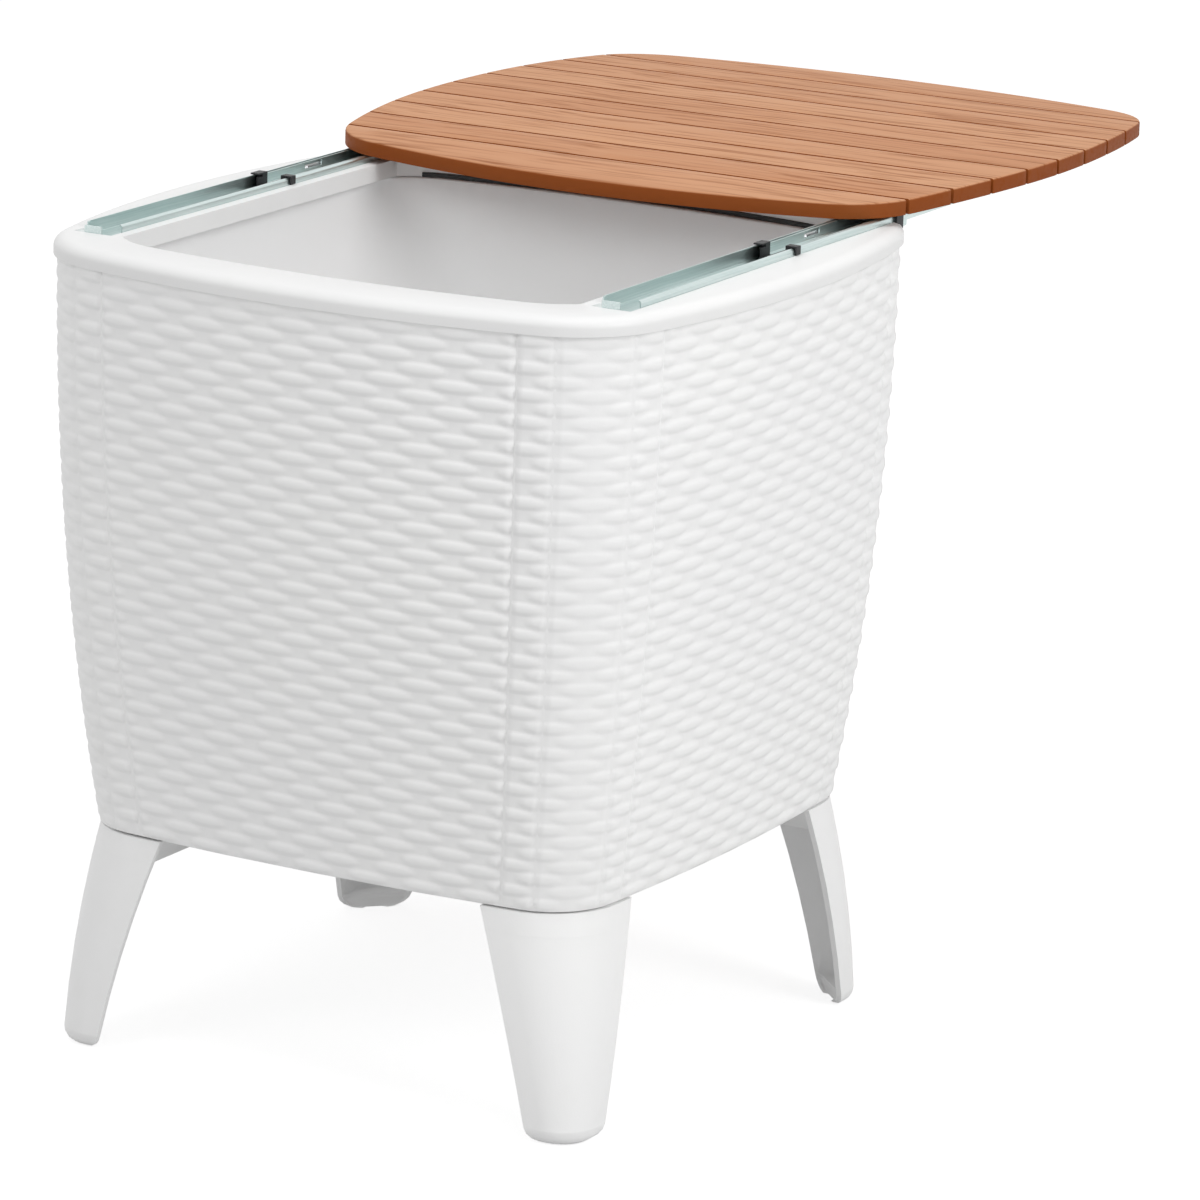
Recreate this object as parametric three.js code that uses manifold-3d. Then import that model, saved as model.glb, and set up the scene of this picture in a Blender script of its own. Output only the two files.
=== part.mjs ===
// Ice bucket coffee table: a moulded bucket on four legs, with a slatted top that slides back on two ball slides.
// Millimetres, +Z up, front towards -Y, drawn as photographed with the top slid back by topTravel.
// Places are counted from the bucket's middle. The whole is then set forward by originSetback, so that the
// origin is on the floor under the middle of the open table.
import * as THREE from "three";
import { mergeVertices } from "three/addons/utils/BufferGeometryUtils.js";
import Module from "manifold-3d";

const wasm = await Module();
wasm.setup();

// Clearances and steps
const seatGap = 0.3; // between two pieces that seat on each other
const overrun = 4; // how far a cutter runs past the face that it cuts
const cornerSteps = 6; // facets in one corner of a rounded square
const sideSteps = 4; // facets in one bowed side of a rounded square
const boreSides = 12; // facets round a hole, a screw or a cap

// Top: grooved like planks, domed front to back, ribbed below
const topHeight = 577.2; // of its middle above the floor
const topHalfWidth = 247.5; // the bucket and the slides follow from it
const topOverhang = 1; // beyond the rim, at each side
const topAboveRim = 20.2;
const topHalfDepth = 246;
const topBow = 740;
const topCorner = 62;
const topDome = 5.2; // how far the front and back edges lie below the middle
const topThickness = 10.6;
const topSkin = 4;
const topEdgeWall = 4;
const plankCount = 10;
const plankPitch = 46.1;
const grooveWidth = 2.4;
const grooveDepth = 1.9;
const ribThickness = 2.4;
const ribColumns = 5;
const ribRows = 7;

// Bucket: the outer casing, bowed and tapered like a basket
const bucketFoot = 153; // height of its underside above the floor
const bucketTaper = 41; // at the foot, from the casing's widest in
const bucketBelly = 13.7; // the same at half height
const bucketBowBottom = 1800; // radius of the bowed side
const bucketBowTop = 780;
const bucketCornerBottom = 48;
const bucketCornerTop = 74;
const bucketWall = 3;
const bucketFloor = 4;
const bucketLevels = 8; // slices up the casing
const bucketEdgeRound = 3; // rounded lower edge
const bossRadius = 7;
const bossHeight = 12;

// Liner: the tub that holds the ice
const tubFlange = 2;
const tubFlangeMargin = 1.2; // from the casing's outer face in to the flange's edge
const tubInset = 50.5; // from the rim's outer face in to the tub's inner face
const tubTaper = 18;
const tubFloorLift = 40; // tub floor above the bucket's underside
const tubWall = 3;
const tubBow = 1400;
const tubCornerTop = 56;
const tubCornerBottom = 46;

// Drain
const spoutRadius = 16;
const spoutBore = 12.5;
const spoutDrop = 6; // below the bucket's underside
const spoutFlange = 3;
const spoutFlangeRadius = 34;
const capRadius = 23;
const capFloor = 4;
const capGrips = 12;
const capGripRadius = 2.2;
const gasketThickness = 3;

// Rim: the smooth frame on the casing, with the two slide beds
const rimHeight = 12.2;
const rimLip = 3.3; // beyond the casing
const rimBow = 770;
const rimCorner = 76;
const rimRound = 7; // how far in the rounded upper edge starts
const rimRoundDrop = 4.5;
const rimWall = 4;
const rimRoof = 4;
const openingInset = 45; // from the rim's outer face, at front and back
const openingBow = 950;
const openingCorner = 60;
const openingSideMargin = 22.6; // from a slide's middle to the opening
const openingFlare = 1.5;
const openingFlareDepth = 2;

// Legs: channels bent round the bucket's corners
const legInset = 4.6; // from the casing's lower edge
const legSplay = 9;
const legBulge = 2.7;
const legWidthTop = 73;
const legWidthBottom = 37;
const legCornerTop = 55;
const legCornerBottom = 25;
const legWall = 4;
const legSole = 11;
const legRound = 10; // rounded lower edge
const legPlate = 6;
const legSkirt = 15; // height of the walls under the plate's two inner edges
const legScrewInset = 17; // from the two inner edges of the plate
const legScrewStep = 26; // between the two screws of a leg
const legLevels = 5;
const legRoundSteps = 4;

// Ball slides, lying flat: a fixed channel, a middle channel and a top channel with two ball cages
const slideInset = 48.9; // from the rim's outer face in to a slide's middle
const slideFrontInset = 69.5; // from the rim's front to the fixed channel's front end
const slideBackInset = 37.3; // from the rim's back to its back end
const slideWidth = 28.4;
const slideHeight = 10.5;
const slideSteel = 1;
const slideLip = 2.4;
const slideBend = 1.4; // bend radius on the middle of the steel
const slideRise = 4.8; // fixed channel's top above the rim
const slideTongue = 14; // fixed channel's web ahead of its side walls
const slideTongueHalf = 8; // half width of its front edge
const slideTongueChamfer = 8;
const lowerBall = 2.6;
const upperBall = 2.2;
const ballPlay = 0.1;
const cageSteel = 0.5;
const cageStop = 3; // from the channel's back end, with the top open
const cageAhead = 9.2; // from the bumper, with the top open
const cageHead = 1; // cage above its balls
const ballsPerRow = 4;
const topTravel = 371; // the top's slide from closed to the photographed place
const middleShare = 0.5; // the middle channel goes this share of the top's way
const lowerCageShare = 0.25;
const upperCageShare = 0.75;
const middleSetback = 43.5; // middle channel's front behind the fixed one's, closed
const innerSetback = 12.2; // top channel's front behind the fixed one's, closed
const stopWidth = 13.4;
const bumperLength = 42;
const bumperNose = 7; // ahead of the middle channel
const bumperFloor = 0.9;
const bumperProng = 27; // the outer side's reach ahead of the nose
const bumperHorn = 5; // the other side's
const bumperEarRise = 1.5; // above the fixed channel's lips
const bumperTailWall = 1.2;
const earTrackLength = 56; // in the top's underside, from its front edge
const earTrackPlay = 0.6; // round the ears
const sideSlotLength = 22;
const sideSlotHeight = 3.4;
const sideSlotDrop = 1.4; // below the side wall's top
const sideSlotSetback = 52;
const innerBumperLength = 12;

// Screws
const screwShank = 2; // radius
const screwHead = 3.8; // radius
const screwHeadHeight = 2.2;
const screwPlay = 0.3;
const slideScrewInsetShare = 0.14; // of the slide's length, from each end
const slideScrewLength = 10;
const flatHead = 3; // radius of a countersunk head
const innerScrewLength = 8;
const legScrewLength = 17;

// Spacers between the top channels and the top
const spacerWidth = 31;
const spacerFoot = 13.4; // width of the foot on the channel
const spacerFootHeight = 2;
const spacerFrontInset = 35; // from the top's front edge
const spacerBackInset = 46;

// Finishes, by eye from the photograph
const whitePlastic = { color: 0xf1f1ef, roughness: 0.55, metalness: 0 };
const woodLook = { color: 0xb5703f, roughness: 0.6, metalness: 0 };
const zincSteel = { color: 0xa9b3b2, roughness: 0.35, metalness: 0.9 };
const brightSteel = { color: 0xc9cccd, roughness: 0.25, metalness: 1 };
const blackPlastic = { color: 0x17181a, roughness: 0.5, metalness: 0 };
const blackRubber = { color: 0x202020, roughness: 0.85, metalness: 0 };
const greyPlastic = { color: 0x3a3a3c, roughness: 0.6, metalness: 0 };

// Heights and places that follow from the sizes above
const rimTop = topHeight - topAboveRim;
const rimFoot = rimTop - rimHeight;
const tubTop = rimFoot - seatGap;
const flangeFoot = tubTop - tubFlange;
const bucketTop = flangeFoot - seatGap;
const bucketHeight = bucketTop - bucketFoot;
const tubFloor = bucketFoot + tubFloorLift;
const legTop = bucketFoot - seatGap;
const rimHalf = topHalfWidth - topOverhang;
const bucketHalfTop = rimHalf - rimLip;
const bucketHalfMiddle = bucketHalfTop - bucketBelly;
const bucketHalfBottom = bucketHalfTop - bucketTaper;
const tubHalfTop = rimHalf - tubInset;
const tubHalfBottom = tubHalfTop - tubTaper;
const legHalfTop = bucketHalfBottom - legInset;
const legHalfBottom = legHalfTop + legSplay;
const slideCentre = rimHalf - slideInset;
const slideFront = slideFrontInset - rimHalf;
const slideBack = rimHalf - slideBackInset;
const slideLength = slideBack - slideFront;
const slideFoot = rimTop + slideRise - slideHeight;
const slideTop = slideFoot + slideHeight;
const bedFloor = slideFoot - seatGap;
const openingHalf = rimHalf - openingInset;
const openingSideHalf = slideCentre - openingSideMargin;
const originSetback = (topTravel + topHalfDepth - rimHalf) / 2;
const screwHoleRadius = screwShank + screwPlay;

const group = new THREE.Group();

function addMesh(name, solid, finish) {
  const geometry = toGeometry(solid);
  geometry.translate(0, -originSetback, 0);
  const mesh = new THREE.Mesh(geometry, new THREE.MeshStandardMaterial(finish));
  mesh.name = name;
  group.add(mesh);
  return mesh;
}

// From three.js geometry to a solid that can be cut and joined, and back
function toSolid(geometry) {
  const bare = geometry.clone();
  bare.deleteAttribute("normal");
  bare.deleteAttribute("uv");
  const merged = mergeVertices(bare);
  const triVerts = new Uint32Array(merged.index.array);
  const vertProperties = new Float32Array(merged.attributes.position.array);
  return new wasm.Manifold(new wasm.Mesh({ numProp: 3, vertProperties, triVerts }));
}

function toGeometry(solid) {
  const mesh = solid.getMesh();
  const geometry = new THREE.BufferGeometry();
  geometry.setAttribute("position", new THREE.BufferAttribute(new Float32Array(mesh.vertProperties), 3));
  geometry.setIndex(new THREE.BufferAttribute(new Uint32Array(mesh.triVerts), 1));
  geometry.computeVertexNormals();
  return geometry;
}

function box(minimum, maximum) {
  const size = maximum.map((high, axis) => high - minimum[axis]);
  const geometry = new THREE.BoxGeometry(...size);
  geometry.translate(...maximum.map((high, axis) => (high + minimum[axis]) / 2));
  return toSolid(geometry);
}

function cylinder(radius, bottom, top, x, y) {
  const geometry = new THREE.CylinderGeometry(radius, radius, top - bottom, boreSides);
  geometry.rotateX(Math.PI / 2);
  geometry.translate(x, y, (top + bottom) / 2);
  return toSolid(geometry);
}

// A closed solid through rings of equal count, one above another
function loft(sections) {
  const count = sections[0].ring.length;
  const positions = [];
  for (const { ring, z } of sections) {
    for (const point of ring) positions.push(point.x, point.y, z);
  }
  const index = [];
  for (let level = 0; level + 1 < sections.length; level += 1) {
    for (let i = 0; i < count; i += 1) {
      const a = level * count + i;
      const b = level * count + (i + 1) % count;
      index.push(a, b, b + count, a, b + count, a + count);
    }
  }
  const last = (sections.length - 1) * count;
  for (const [a, b, c] of THREE.ShapeUtils.triangulateShape(sections[0].ring, [])) index.push(c, b, a);
  for (const [a, b, c] of THREE.ShapeUtils.triangulateShape(sections.at(-1).ring, [])) {
    index.push(last + a, last + b, last + c);
  }
  const geometry = new THREE.BufferGeometry();
  geometry.setAttribute("position", new THREE.Float32BufferAttribute(positions, 3));
  geometry.setIndex(index);
  return toSolid(geometry);
}

function prism(ring, bottom, top) {
  return loft([{ ring, z: bottom }, { ring, z: top }]);
}

// An outline in X and Z, run along Y
function runAlongY(outline, front, back) {
  const geometry = new THREE.ExtrudeGeometry(new THREE.Shape(outline), { depth: back - front, bevelEnabled: false });
  geometry.rotateX(Math.PI / 2);
  geometry.translate(0, back, 0);
  return toSolid(geometry);
}

// An outline in Y and Z, run along X on both sides of the middle
function runAlongX(outline, half) {
  const geometry = new THREE.ExtrudeGeometry(new THREE.Shape(outline), { depth: 2 * half, bevelEnabled: false });
  const turn = new THREE.Matrix4().makeBasis(
    new THREE.Vector3(0, 1, 0),
    new THREE.Vector3(0, 0, 1),
    new THREE.Vector3(1, 0, 0),
  );
  geometry.applyMatrix4(turn);
  geometry.translate(-half, 0, 0);
  return toSolid(geometry);
}

// A square with bowed sides and round corners, anticlockwise from the middle of its right side
function roundedSquare(half, bow, corner) {
  const inset = bow - half;
  const reach = bow - corner;
  const centre = (Math.sqrt(2 * reach * reach - inset * inset) - inset) / 2;
  const sideEnd = Math.atan2(centre, centre + inset);
  const points = [];
  for (let quarter = 0; quarter < 4; quarter += 1) {
    const turn = (quarter * Math.PI) / 2;
    const place = (x, y) => {
      points.push(new THREE.Vector2(x, y).rotateAround(new THREE.Vector2(), turn));
    };
    for (let i = 0; i < sideSteps; i += 1) {
      const angle = (2 * i / sideSteps - 1) * sideEnd;
      place(bow * Math.cos(angle) - inset, bow * Math.sin(angle));
    }
    for (let i = 0; i < cornerSteps; i += 1) {
      const angle = sideEnd + (i / cornerSteps) * (Math.PI / 2 - 2 * sideEnd);
      place(centre + corner * Math.cos(angle), centre + corner * Math.sin(angle));
    }
  }
  return points;
}

function mix(low, high, share) {
  return low + (high - low) * share;
}

// Steel strip bent along a path: corners get a bend, both faces stay parallel
function bentStrip(corners, thickness, bend) {
  const bendSteps = 3;
  const path = [corners[0]];
  for (let i = 1; i + 1 < corners.length; i += 1) {
    const before = corners[i - 1].clone().sub(corners[i]).setLength(bend).add(corners[i]);
    const after = corners[i + 1].clone().sub(corners[i]).setLength(bend).add(corners[i]);
    const arc = new THREE.QuadraticBezierCurve(before, corners[i], after);
    path.push(...arc.getPoints(bendSteps));
  }
  path.push(corners.at(-1));
  const left = [];
  const right = [];
  path.forEach((point, i) => {
    const ahead = path[Math.min(i + 1, path.length - 1)];
    const behind = path[Math.max(i - 1, 0)];
    const normal = ahead.clone().sub(behind).normalize().multiplyScalar(thickness / 2);
    normal.set(-normal.y, normal.x);
    left.push(point.clone().add(normal));
    right.push(point.clone().sub(normal));
  });
  return [...right, ...left.reverse()];
}

// The casing's outline at a height, as a share of its height
function bucketHalfAt(share) {
  const bottom = bucketHalfBottom * (1 - share) * (1 - 2 * share);
  const middle = bucketHalfMiddle * 4 * share * (1 - share);
  const top = bucketHalfTop * share * (2 * share - 1);
  return bottom + middle + top;
}

function bucketRing(share, inset) {
  const bow = 1 / mix(1 / bucketBowBottom, 1 / bucketBowTop, share);
  const corner = mix(bucketCornerBottom, bucketCornerTop, share);
  return roundedSquare(bucketHalfAt(share) - inset, bow - inset, corner - inset);
}

function legScrewPlaces(sideX, sideY) {
  const inner = legHalfTop - legWidthTop + legScrewInset;
  return [0, legScrewStep].map((step) => ({
    x: sideX * (inner + step),
    y: sideY * (inner + legScrewStep - step),
  }));
}

const cornerSigns = [
  { name: "front_left", sideX: -1, sideY: -1 },
  { name: "front_right", sideX: 1, sideY: -1 },
  { name: "back_left", sideX: -1, sideY: 1 },
  { name: "back_right", sideX: 1, sideY: 1 },
];

function slideScrewPlaces(front, length) {
  return [slideScrewInsetShare, 1 - slideScrewInsetShare].map((share) => front + share * length);
}

function outerShell() {
  const shares = Array.from({ length: bucketLevels }, (_, i) => (i + 1) / bucketLevels);
  const edgeShare = bucketEdgeRound / bucketHeight;
  const outside = [
    { ring: bucketRing(0, bucketEdgeRound), z: bucketFoot },
    { ring: bucketRing(edgeShare, 0), z: bucketFoot + bucketEdgeRound },
    ...shares.map((share) => ({ ring: bucketRing(share, 0), z: bucketFoot + share * bucketHeight })),
  ];
  const floorShare = bucketFloor / bucketHeight;
  const inside = [
    { ring: bucketRing(floorShare, bucketWall), z: bucketFoot + bucketFloor },
    ...shares.map((share) => ({ ring: bucketRing(share, bucketWall), z: bucketFoot + share * bucketHeight })),
    { ring: bucketRing(1, bucketWall), z: bucketTop + overrun },
  ];
  let shell = loft(outside).subtract(loft(inside));
  for (const { sideX, sideY } of cornerSigns) {
    for (const { x, y } of legScrewPlaces(sideX, sideY)) {
      const floorTop = bucketFoot + bucketFloor;
      shell = shell.add(cylinder(bossRadius, bucketFoot + bucketFloor / 2, floorTop + bossHeight, x, y));
      shell = shell.subtract(cylinder(screwHoleRadius, bucketFoot - overrun, floorTop + bossHeight - bucketFloor, x, y));
    }
  }
  return shell.subtract(cylinder(spoutRadius + seatGap, bucketFoot - overrun, tubFloor, 0, 0));
}

function innerTub() {
  const wallFoot = tubFloor - tubWall;
  const ringAt = (share, grow) => roundedSquare(
    mix(tubHalfBottom, tubHalfTop, share) + grow,
    tubBow + grow,
    mix(tubCornerBottom, tubCornerTop, share) + grow,
  );
  let tub = loft([
    { ring: ringAt(0, tubWall), z: wallFoot },
    { ring: ringAt(1, tubWall), z: tubTop },
  ]);
  tub = tub.add(prism(bucketRing(1, tubFlangeMargin), flangeFoot, tubTop));
  const draft = (tubHalfTop - tubHalfBottom) * (overrun / (tubTop - tubFloor));
  tub = tub.subtract(loft([
    { ring: ringAt(0, 0), z: tubFloor },
    { ring: ringAt(1, 0), z: tubTop },
    { ring: ringAt(1, draft), z: tubTop + overrun },
  ]));
  tub = tub.subtract(cylinder(spoutRadius + seatGap, wallFoot - overrun, tubFloor + overrun, 0, 0));
  for (const side of [-1, 1]) {
    for (const y of slideScrewPlaces(slideFront, slideLength)) {
      tub = tub.subtract(cylinder(screwHoleRadius, flangeFoot - overrun, tubTop + overrun, side * slideCentre, y));
    }
  }
  return tub;
}

function rimFrame() {
  const ring = (inset) => roundedSquare(rimHalf - inset, rimBow - inset, rimCorner - inset);
  const roundSteps = 4;
  const sections = [{ ring: ring(0), z: rimFoot }];
  for (let i = 0; i <= roundSteps; i += 1) {
    const angle = (i / roundSteps) * (Math.PI / 2);
    const drop = rimRoundDrop * (1 - Math.sin(angle));
    sections.push({ ring: ring(rimRound * (1 - Math.cos(angle))), z: rimTop - drop });
  }
  let frame = loft(sections);
  const openingRing = (grow) => roundedSquare(openingHalf + grow, openingBow + grow, openingCorner + grow);
  const flareShare = (overrun + openingFlareDepth) / openingFlareDepth;
  const opening = loft([
    { ring: openingRing(0), z: rimFoot - overrun },
    { ring: openingRing(0), z: rimTop - openingFlareDepth },
    { ring: openingRing(openingFlare * flareShare), z: rimTop + overrun },
  ]);
  const between = box(
    [-openingSideHalf, -rimHalf, rimFoot - 2 * overrun],
    [openingSideHalf, rimHalf, rimTop + 2 * overrun],
  );
  frame = frame.subtract(opening.intersect(between));
  // Each slide bed runs out through the back, where the middle channel leaves it
  const bedBlock = (side, grow, low, high) => box(
    [side * slideCentre - slideWidth / 2 - grow, slideFront - grow, low],
    [side * slideCentre + slideWidth / 2 + grow, rimHalf + overrun, high],
  );
  const middleHalfX = openingSideHalf + rimWall;
  const middleHalfY = openingHalf + rimWall;
  let hollow = prism(ring(rimWall), rimFoot - overrun, rimTop - rimRoof).subtract(box(
    [-middleHalfX, -middleHalfY, rimFoot - 2 * overrun],
    [middleHalfX, middleHalfY, rimTop],
  ));
  for (const side of [-1, 1]) {
    hollow = hollow.subtract(bedBlock(side, rimWall, rimFoot - 2 * overrun, rimTop));
    frame = frame.subtract(bedBlock(side, seatGap, bedFloor, rimTop + overrun));
    for (const y of slideScrewPlaces(slideFront, slideLength)) {
      frame = frame.subtract(cylinder(screwHoleRadius, rimFoot - overrun, rimTop, side * slideCentre, y));
    }
  }
  return frame.subtract(hollow);
}

// One leg's outer face, from its end on the front or back to its end on the side
function legPath(height, inset, endInset = 0) {
  const share = height / legTop;
  const half = mix(legHalfBottom, legHalfTop, share) + 4 * legBulge * share * (1 - share) - inset;
  const width = mix(legWidthBottom, legWidthTop, share) - inset - endInset;
  const corner = mix(legCornerBottom, legCornerTop, share) - inset;
  const arcSteps = 7;
  const points = [new THREE.Vector2(half - width, half)];
  for (let i = 0; i <= arcSteps; i += 1) {
    const angle = Math.PI / 2 - (i / arcSteps) * (Math.PI / 2);
    points.push(new THREE.Vector2(half - corner + corner * Math.cos(angle), half - corner + corner * Math.sin(angle)));
  }
  points.push(new THREE.Vector2(half, half - width));
  return points.reverse();
}

function legChannelRing(height, inset) {
  const outer = legPath(height, inset, inset);
  const inner = legPath(height, legWall + inset, inset);
  return [...outer, ...inner.reverse()];
}

function leg(sideX, sideY) {
  const rounded = Array.from({ length: legRoundSteps }, (_, i) => {
    const angle = (i / legRoundSteps) * (Math.PI / 2);
    return { z: legRound * (1 - Math.cos(angle)), inset: legRound * (1 - Math.sin(angle)) };
  });
  const straight = Array.from({ length: legLevels + 1 }, (_, i) => (
    { z: mix(legRound, legTop, i / legLevels), inset: 0 }
  ));
  let solid = loft([...rounded, ...straight].map(({ z, inset }) => ({ ring: legChannelRing(z, inset), z })));
  const sole = [...rounded, { z: legRound, inset: 0 }, { z: legSole, inset: 0 }];
  solid = solid.add(loft(sole.map(({ z, inset }) => ({ ring: legPath(z, inset, inset), z }))));
  const blockRing = (z, wall) => {
    const path = legPath(z, wall);
    const inner = path.at(-1).x + wall;
    path[0].y = inner;
    path.at(-1).x = inner;
    return [...path, new THREE.Vector2(inner, inner)];
  };
  const plateFoot = legTop - legPlate;
  const skirtFoot = legTop - legSkirt;
  const block = loft([
    { ring: blockRing(skirtFoot, 0), z: skirtFoot },
    { ring: blockRing(legTop, 0), z: legTop },
  ]);
  solid = solid.add(block.subtract(loft([
    { ring: blockRing(skirtFoot - overrun, legWall), z: skirtFoot - overrun },
    { ring: blockRing(plateFoot, legWall), z: plateFoot },
  ])));
  for (const { x, y } of legScrewPlaces(1, 1)) {
    solid = solid.subtract(cylinder(screwHoleRadius, plateFoot - overrun, legTop + overrun, x, y));
  }
  if (sideX < 0) solid = solid.mirror([1, 0, 0]);
  if (sideY < 0) solid = solid.mirror([0, 1, 0]);
  return solid;
}

// A screw on its own axis: head below, shank up from height zero
function panScrew(length) {
  const profile = [
    new THREE.Vector2(0, -screwHeadHeight),
    new THREE.Vector2(screwHead * 0.75, -screwHeadHeight),
    new THREE.Vector2(screwHead, -screwHeadHeight / 2),
    new THREE.Vector2(screwHead, 0),
    new THREE.Vector2(screwShank, 0),
    new THREE.Vector2(screwShank, length - screwShank),
    new THREE.Vector2(0, length),
  ];
  const geometry = new THREE.LatheGeometry(profile, boreSides);
  geometry.rotateX(Math.PI / 2);
  return toSolid(geometry);
}

// A flush screw: head flat at height zero, shank down
function flatScrew(length) {
  const profile = [
    new THREE.Vector2(0, -length),
    new THREE.Vector2(screwShank, screwShank - length),
    new THREE.Vector2(screwShank, -slideSteel),
    new THREE.Vector2(flatHead, 0),
    new THREE.Vector2(0, 0),
  ];
  const geometry = new THREE.LatheGeometry(profile, boreSides);
  geometry.rotateX(Math.PI / 2);
  return toSolid(geometry);
}

// Half widths and heights of the nested channels, above the slide's foot
const outerHalf = slideWidth / 2;
const middleHalf = outerHalf - slideSteel - lowerBall - 2 * ballPlay;
const innerHalf = middleHalf - slideSteel - upperBall - 2 * ballPlay;
const lowerCageFoot = slideSteel + seatGap;
const middleFoot = lowerCageFoot + cageSteel + seatGap;
const upperCageFoot = middleFoot + slideSteel + seatGap;
const innerFoot = upperCageFoot + cageSteel + seatGap;
const ballLift = slideHeight / 2;
const middleShift = middleShare * topTravel;
const middleFrontClosed = slideFront + middleSetback;
const innerFrontClosed = slideFront + innerSetback;
const middleFront = middleFrontClosed + middleShift;
const middleBack = slideBack + middleShift;
const innerFront = innerFrontClosed + topTravel;
const innerBack = slideBack + topTravel;
const cageLength = slideBack - cageStop - cageAhead - (middleFront - bumperNose + bumperLength);

function channelUp(half, foot, top, lip) {
  const side = half - slideSteel / 2;
  const web = foot + slideSteel / 2;
  const head = lip > 0 ? top - slideSteel / 2 : top;
  const corners = [
    new THREE.Vector2(-side, head),
    new THREE.Vector2(-side, web),
    new THREE.Vector2(side, web),
    new THREE.Vector2(side, head),
  ];
  if (lip > 0) {
    corners.unshift(new THREE.Vector2(lip - half, head));
    corners.push(new THREE.Vector2(half - lip, head));
  }
  return bentStrip(corners, slideSteel, slideBend);
}

function outerChannel() {
  const wallFront = slideFront + slideTongue;
  let channel = runAlongY(channelUp(outerHalf, 0, slideHeight, slideLip), wallFront, slideBack);
  const webHalf = outerHalf - slideBend;
  const chamferBack = slideFront + slideTongueChamfer;
  const tongue = [
    new THREE.Vector2(-slideTongueHalf, slideFront),
    new THREE.Vector2(slideTongueHalf, slideFront),
    new THREE.Vector2(webHalf, chamferBack),
    new THREE.Vector2(webHalf, wallFront + overrun),
    new THREE.Vector2(-webHalf, wallFront + overrun),
    new THREE.Vector2(-webHalf, chamferBack),
  ];
  channel = channel.add(prism(tongue, 0, slideSteel));
  const stop = box(
    [-stopWidth / 2, slideFront, slideSteel / 2],
    [stopWidth / 2, slideFront + slideSteel, slideHeight],
  );
  channel = channel.add(stop);
  for (const y of slideScrewPlaces(slideFront, slideLength)) {
    const countersink = new THREE.CylinderGeometry(
      flatHead + screwPlay + slideSteel, screwHoleRadius, 2 * slideSteel, boreSides,
    );
    countersink.rotateX(Math.PI / 2);
    countersink.translate(0, y, slideSteel);
    channel = channel.subtract(toSolid(countersink));
    channel = channel.subtract(cylinder(screwHoleRadius, -overrun, slideSteel, 0, y));
  }
  return channel;
}

function middleChannel() {
  const top = slideHeight - seatGap;
  let channel = runAlongY(channelUp(middleHalf, middleFoot, top, 0), middleFront, middleBack);
  const slotStart = middleFront + sideSlotSetback;
  const slot = box(
    [-middleHalf - overrun, slotStart, top - sideSlotDrop - sideSlotHeight],
    [slideSteel - middleHalf, slotStart + sideSlotLength, top - sideSlotDrop],
  );
  return channel.subtract(slot);
}

function innerChannel() {
  const side = innerHalf - slideSteel / 2;
  const web = slideHeight - slideSteel / 2;
  const corners = [
    new THREE.Vector2(side, innerFoot),
    new THREE.Vector2(side, web),
    new THREE.Vector2(-side, web),
    new THREE.Vector2(-side, innerFoot),
  ];
  let channel = runAlongY(bentStrip(corners, slideSteel, slideBend), innerFront, innerBack);
  for (const y of slideScrewPlaces(innerFront, slideLength - innerSetback)) {
    channel = channel.subtract(cylinder(screwHoleRadius, 0, slideHeight + overrun, 0, y));
  }
  return channel;
}

// A cage strip with its two rows of balls
function ballCage(foot, side, ball, back) {
  const front = back - cageLength;
  const web = foot + cageSteel / 2;
  const head = ballLift + ball / 2 + cageHead;
  const corners = [
    new THREE.Vector2(-side, head),
    new THREE.Vector2(-side, web),
    new THREE.Vector2(side, web),
    new THREE.Vector2(side, head),
  ];
  let cage = runAlongY(bentStrip(corners, cageSteel, cageSteel), front, back);
  const widthSegments = 8;
  const heightSegments = 4;
  for (let i = 0; i < ballsPerRow; i += 1) {
    const y = front + ((i + 0.5) / ballsPerRow) * cageLength;
    for (const x of [-side, side]) {
      const geometry = new THREE.SphereGeometry(ball / 2, widthSegments, heightSegments);
      geometry.translate(x, y, ballLift);
      cage = cage.add(toSolid(geometry));
    }
  }
  return cage;
}

function lowerCage() {
  const side = outerHalf - slideSteel - ballPlay - lowerBall / 2;
  return ballCage(lowerCageFoot, side, lowerBall, slideBack - cageStop);
}

function upperCage() {
  const side = middleHalf - slideSteel - ballPlay - upperBall / 2;
  return ballCage(upperCageFoot, side, upperBall, middleBack - cageStop);
}

// The same block on the left and on the right of the slide's middle
function twinBoxes(inner, outer, front, back, low, high) {
  return box([inner, front, low], [outer, back, high]).add(box([-outer, front, low], [-inner, back, high]));
}

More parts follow.
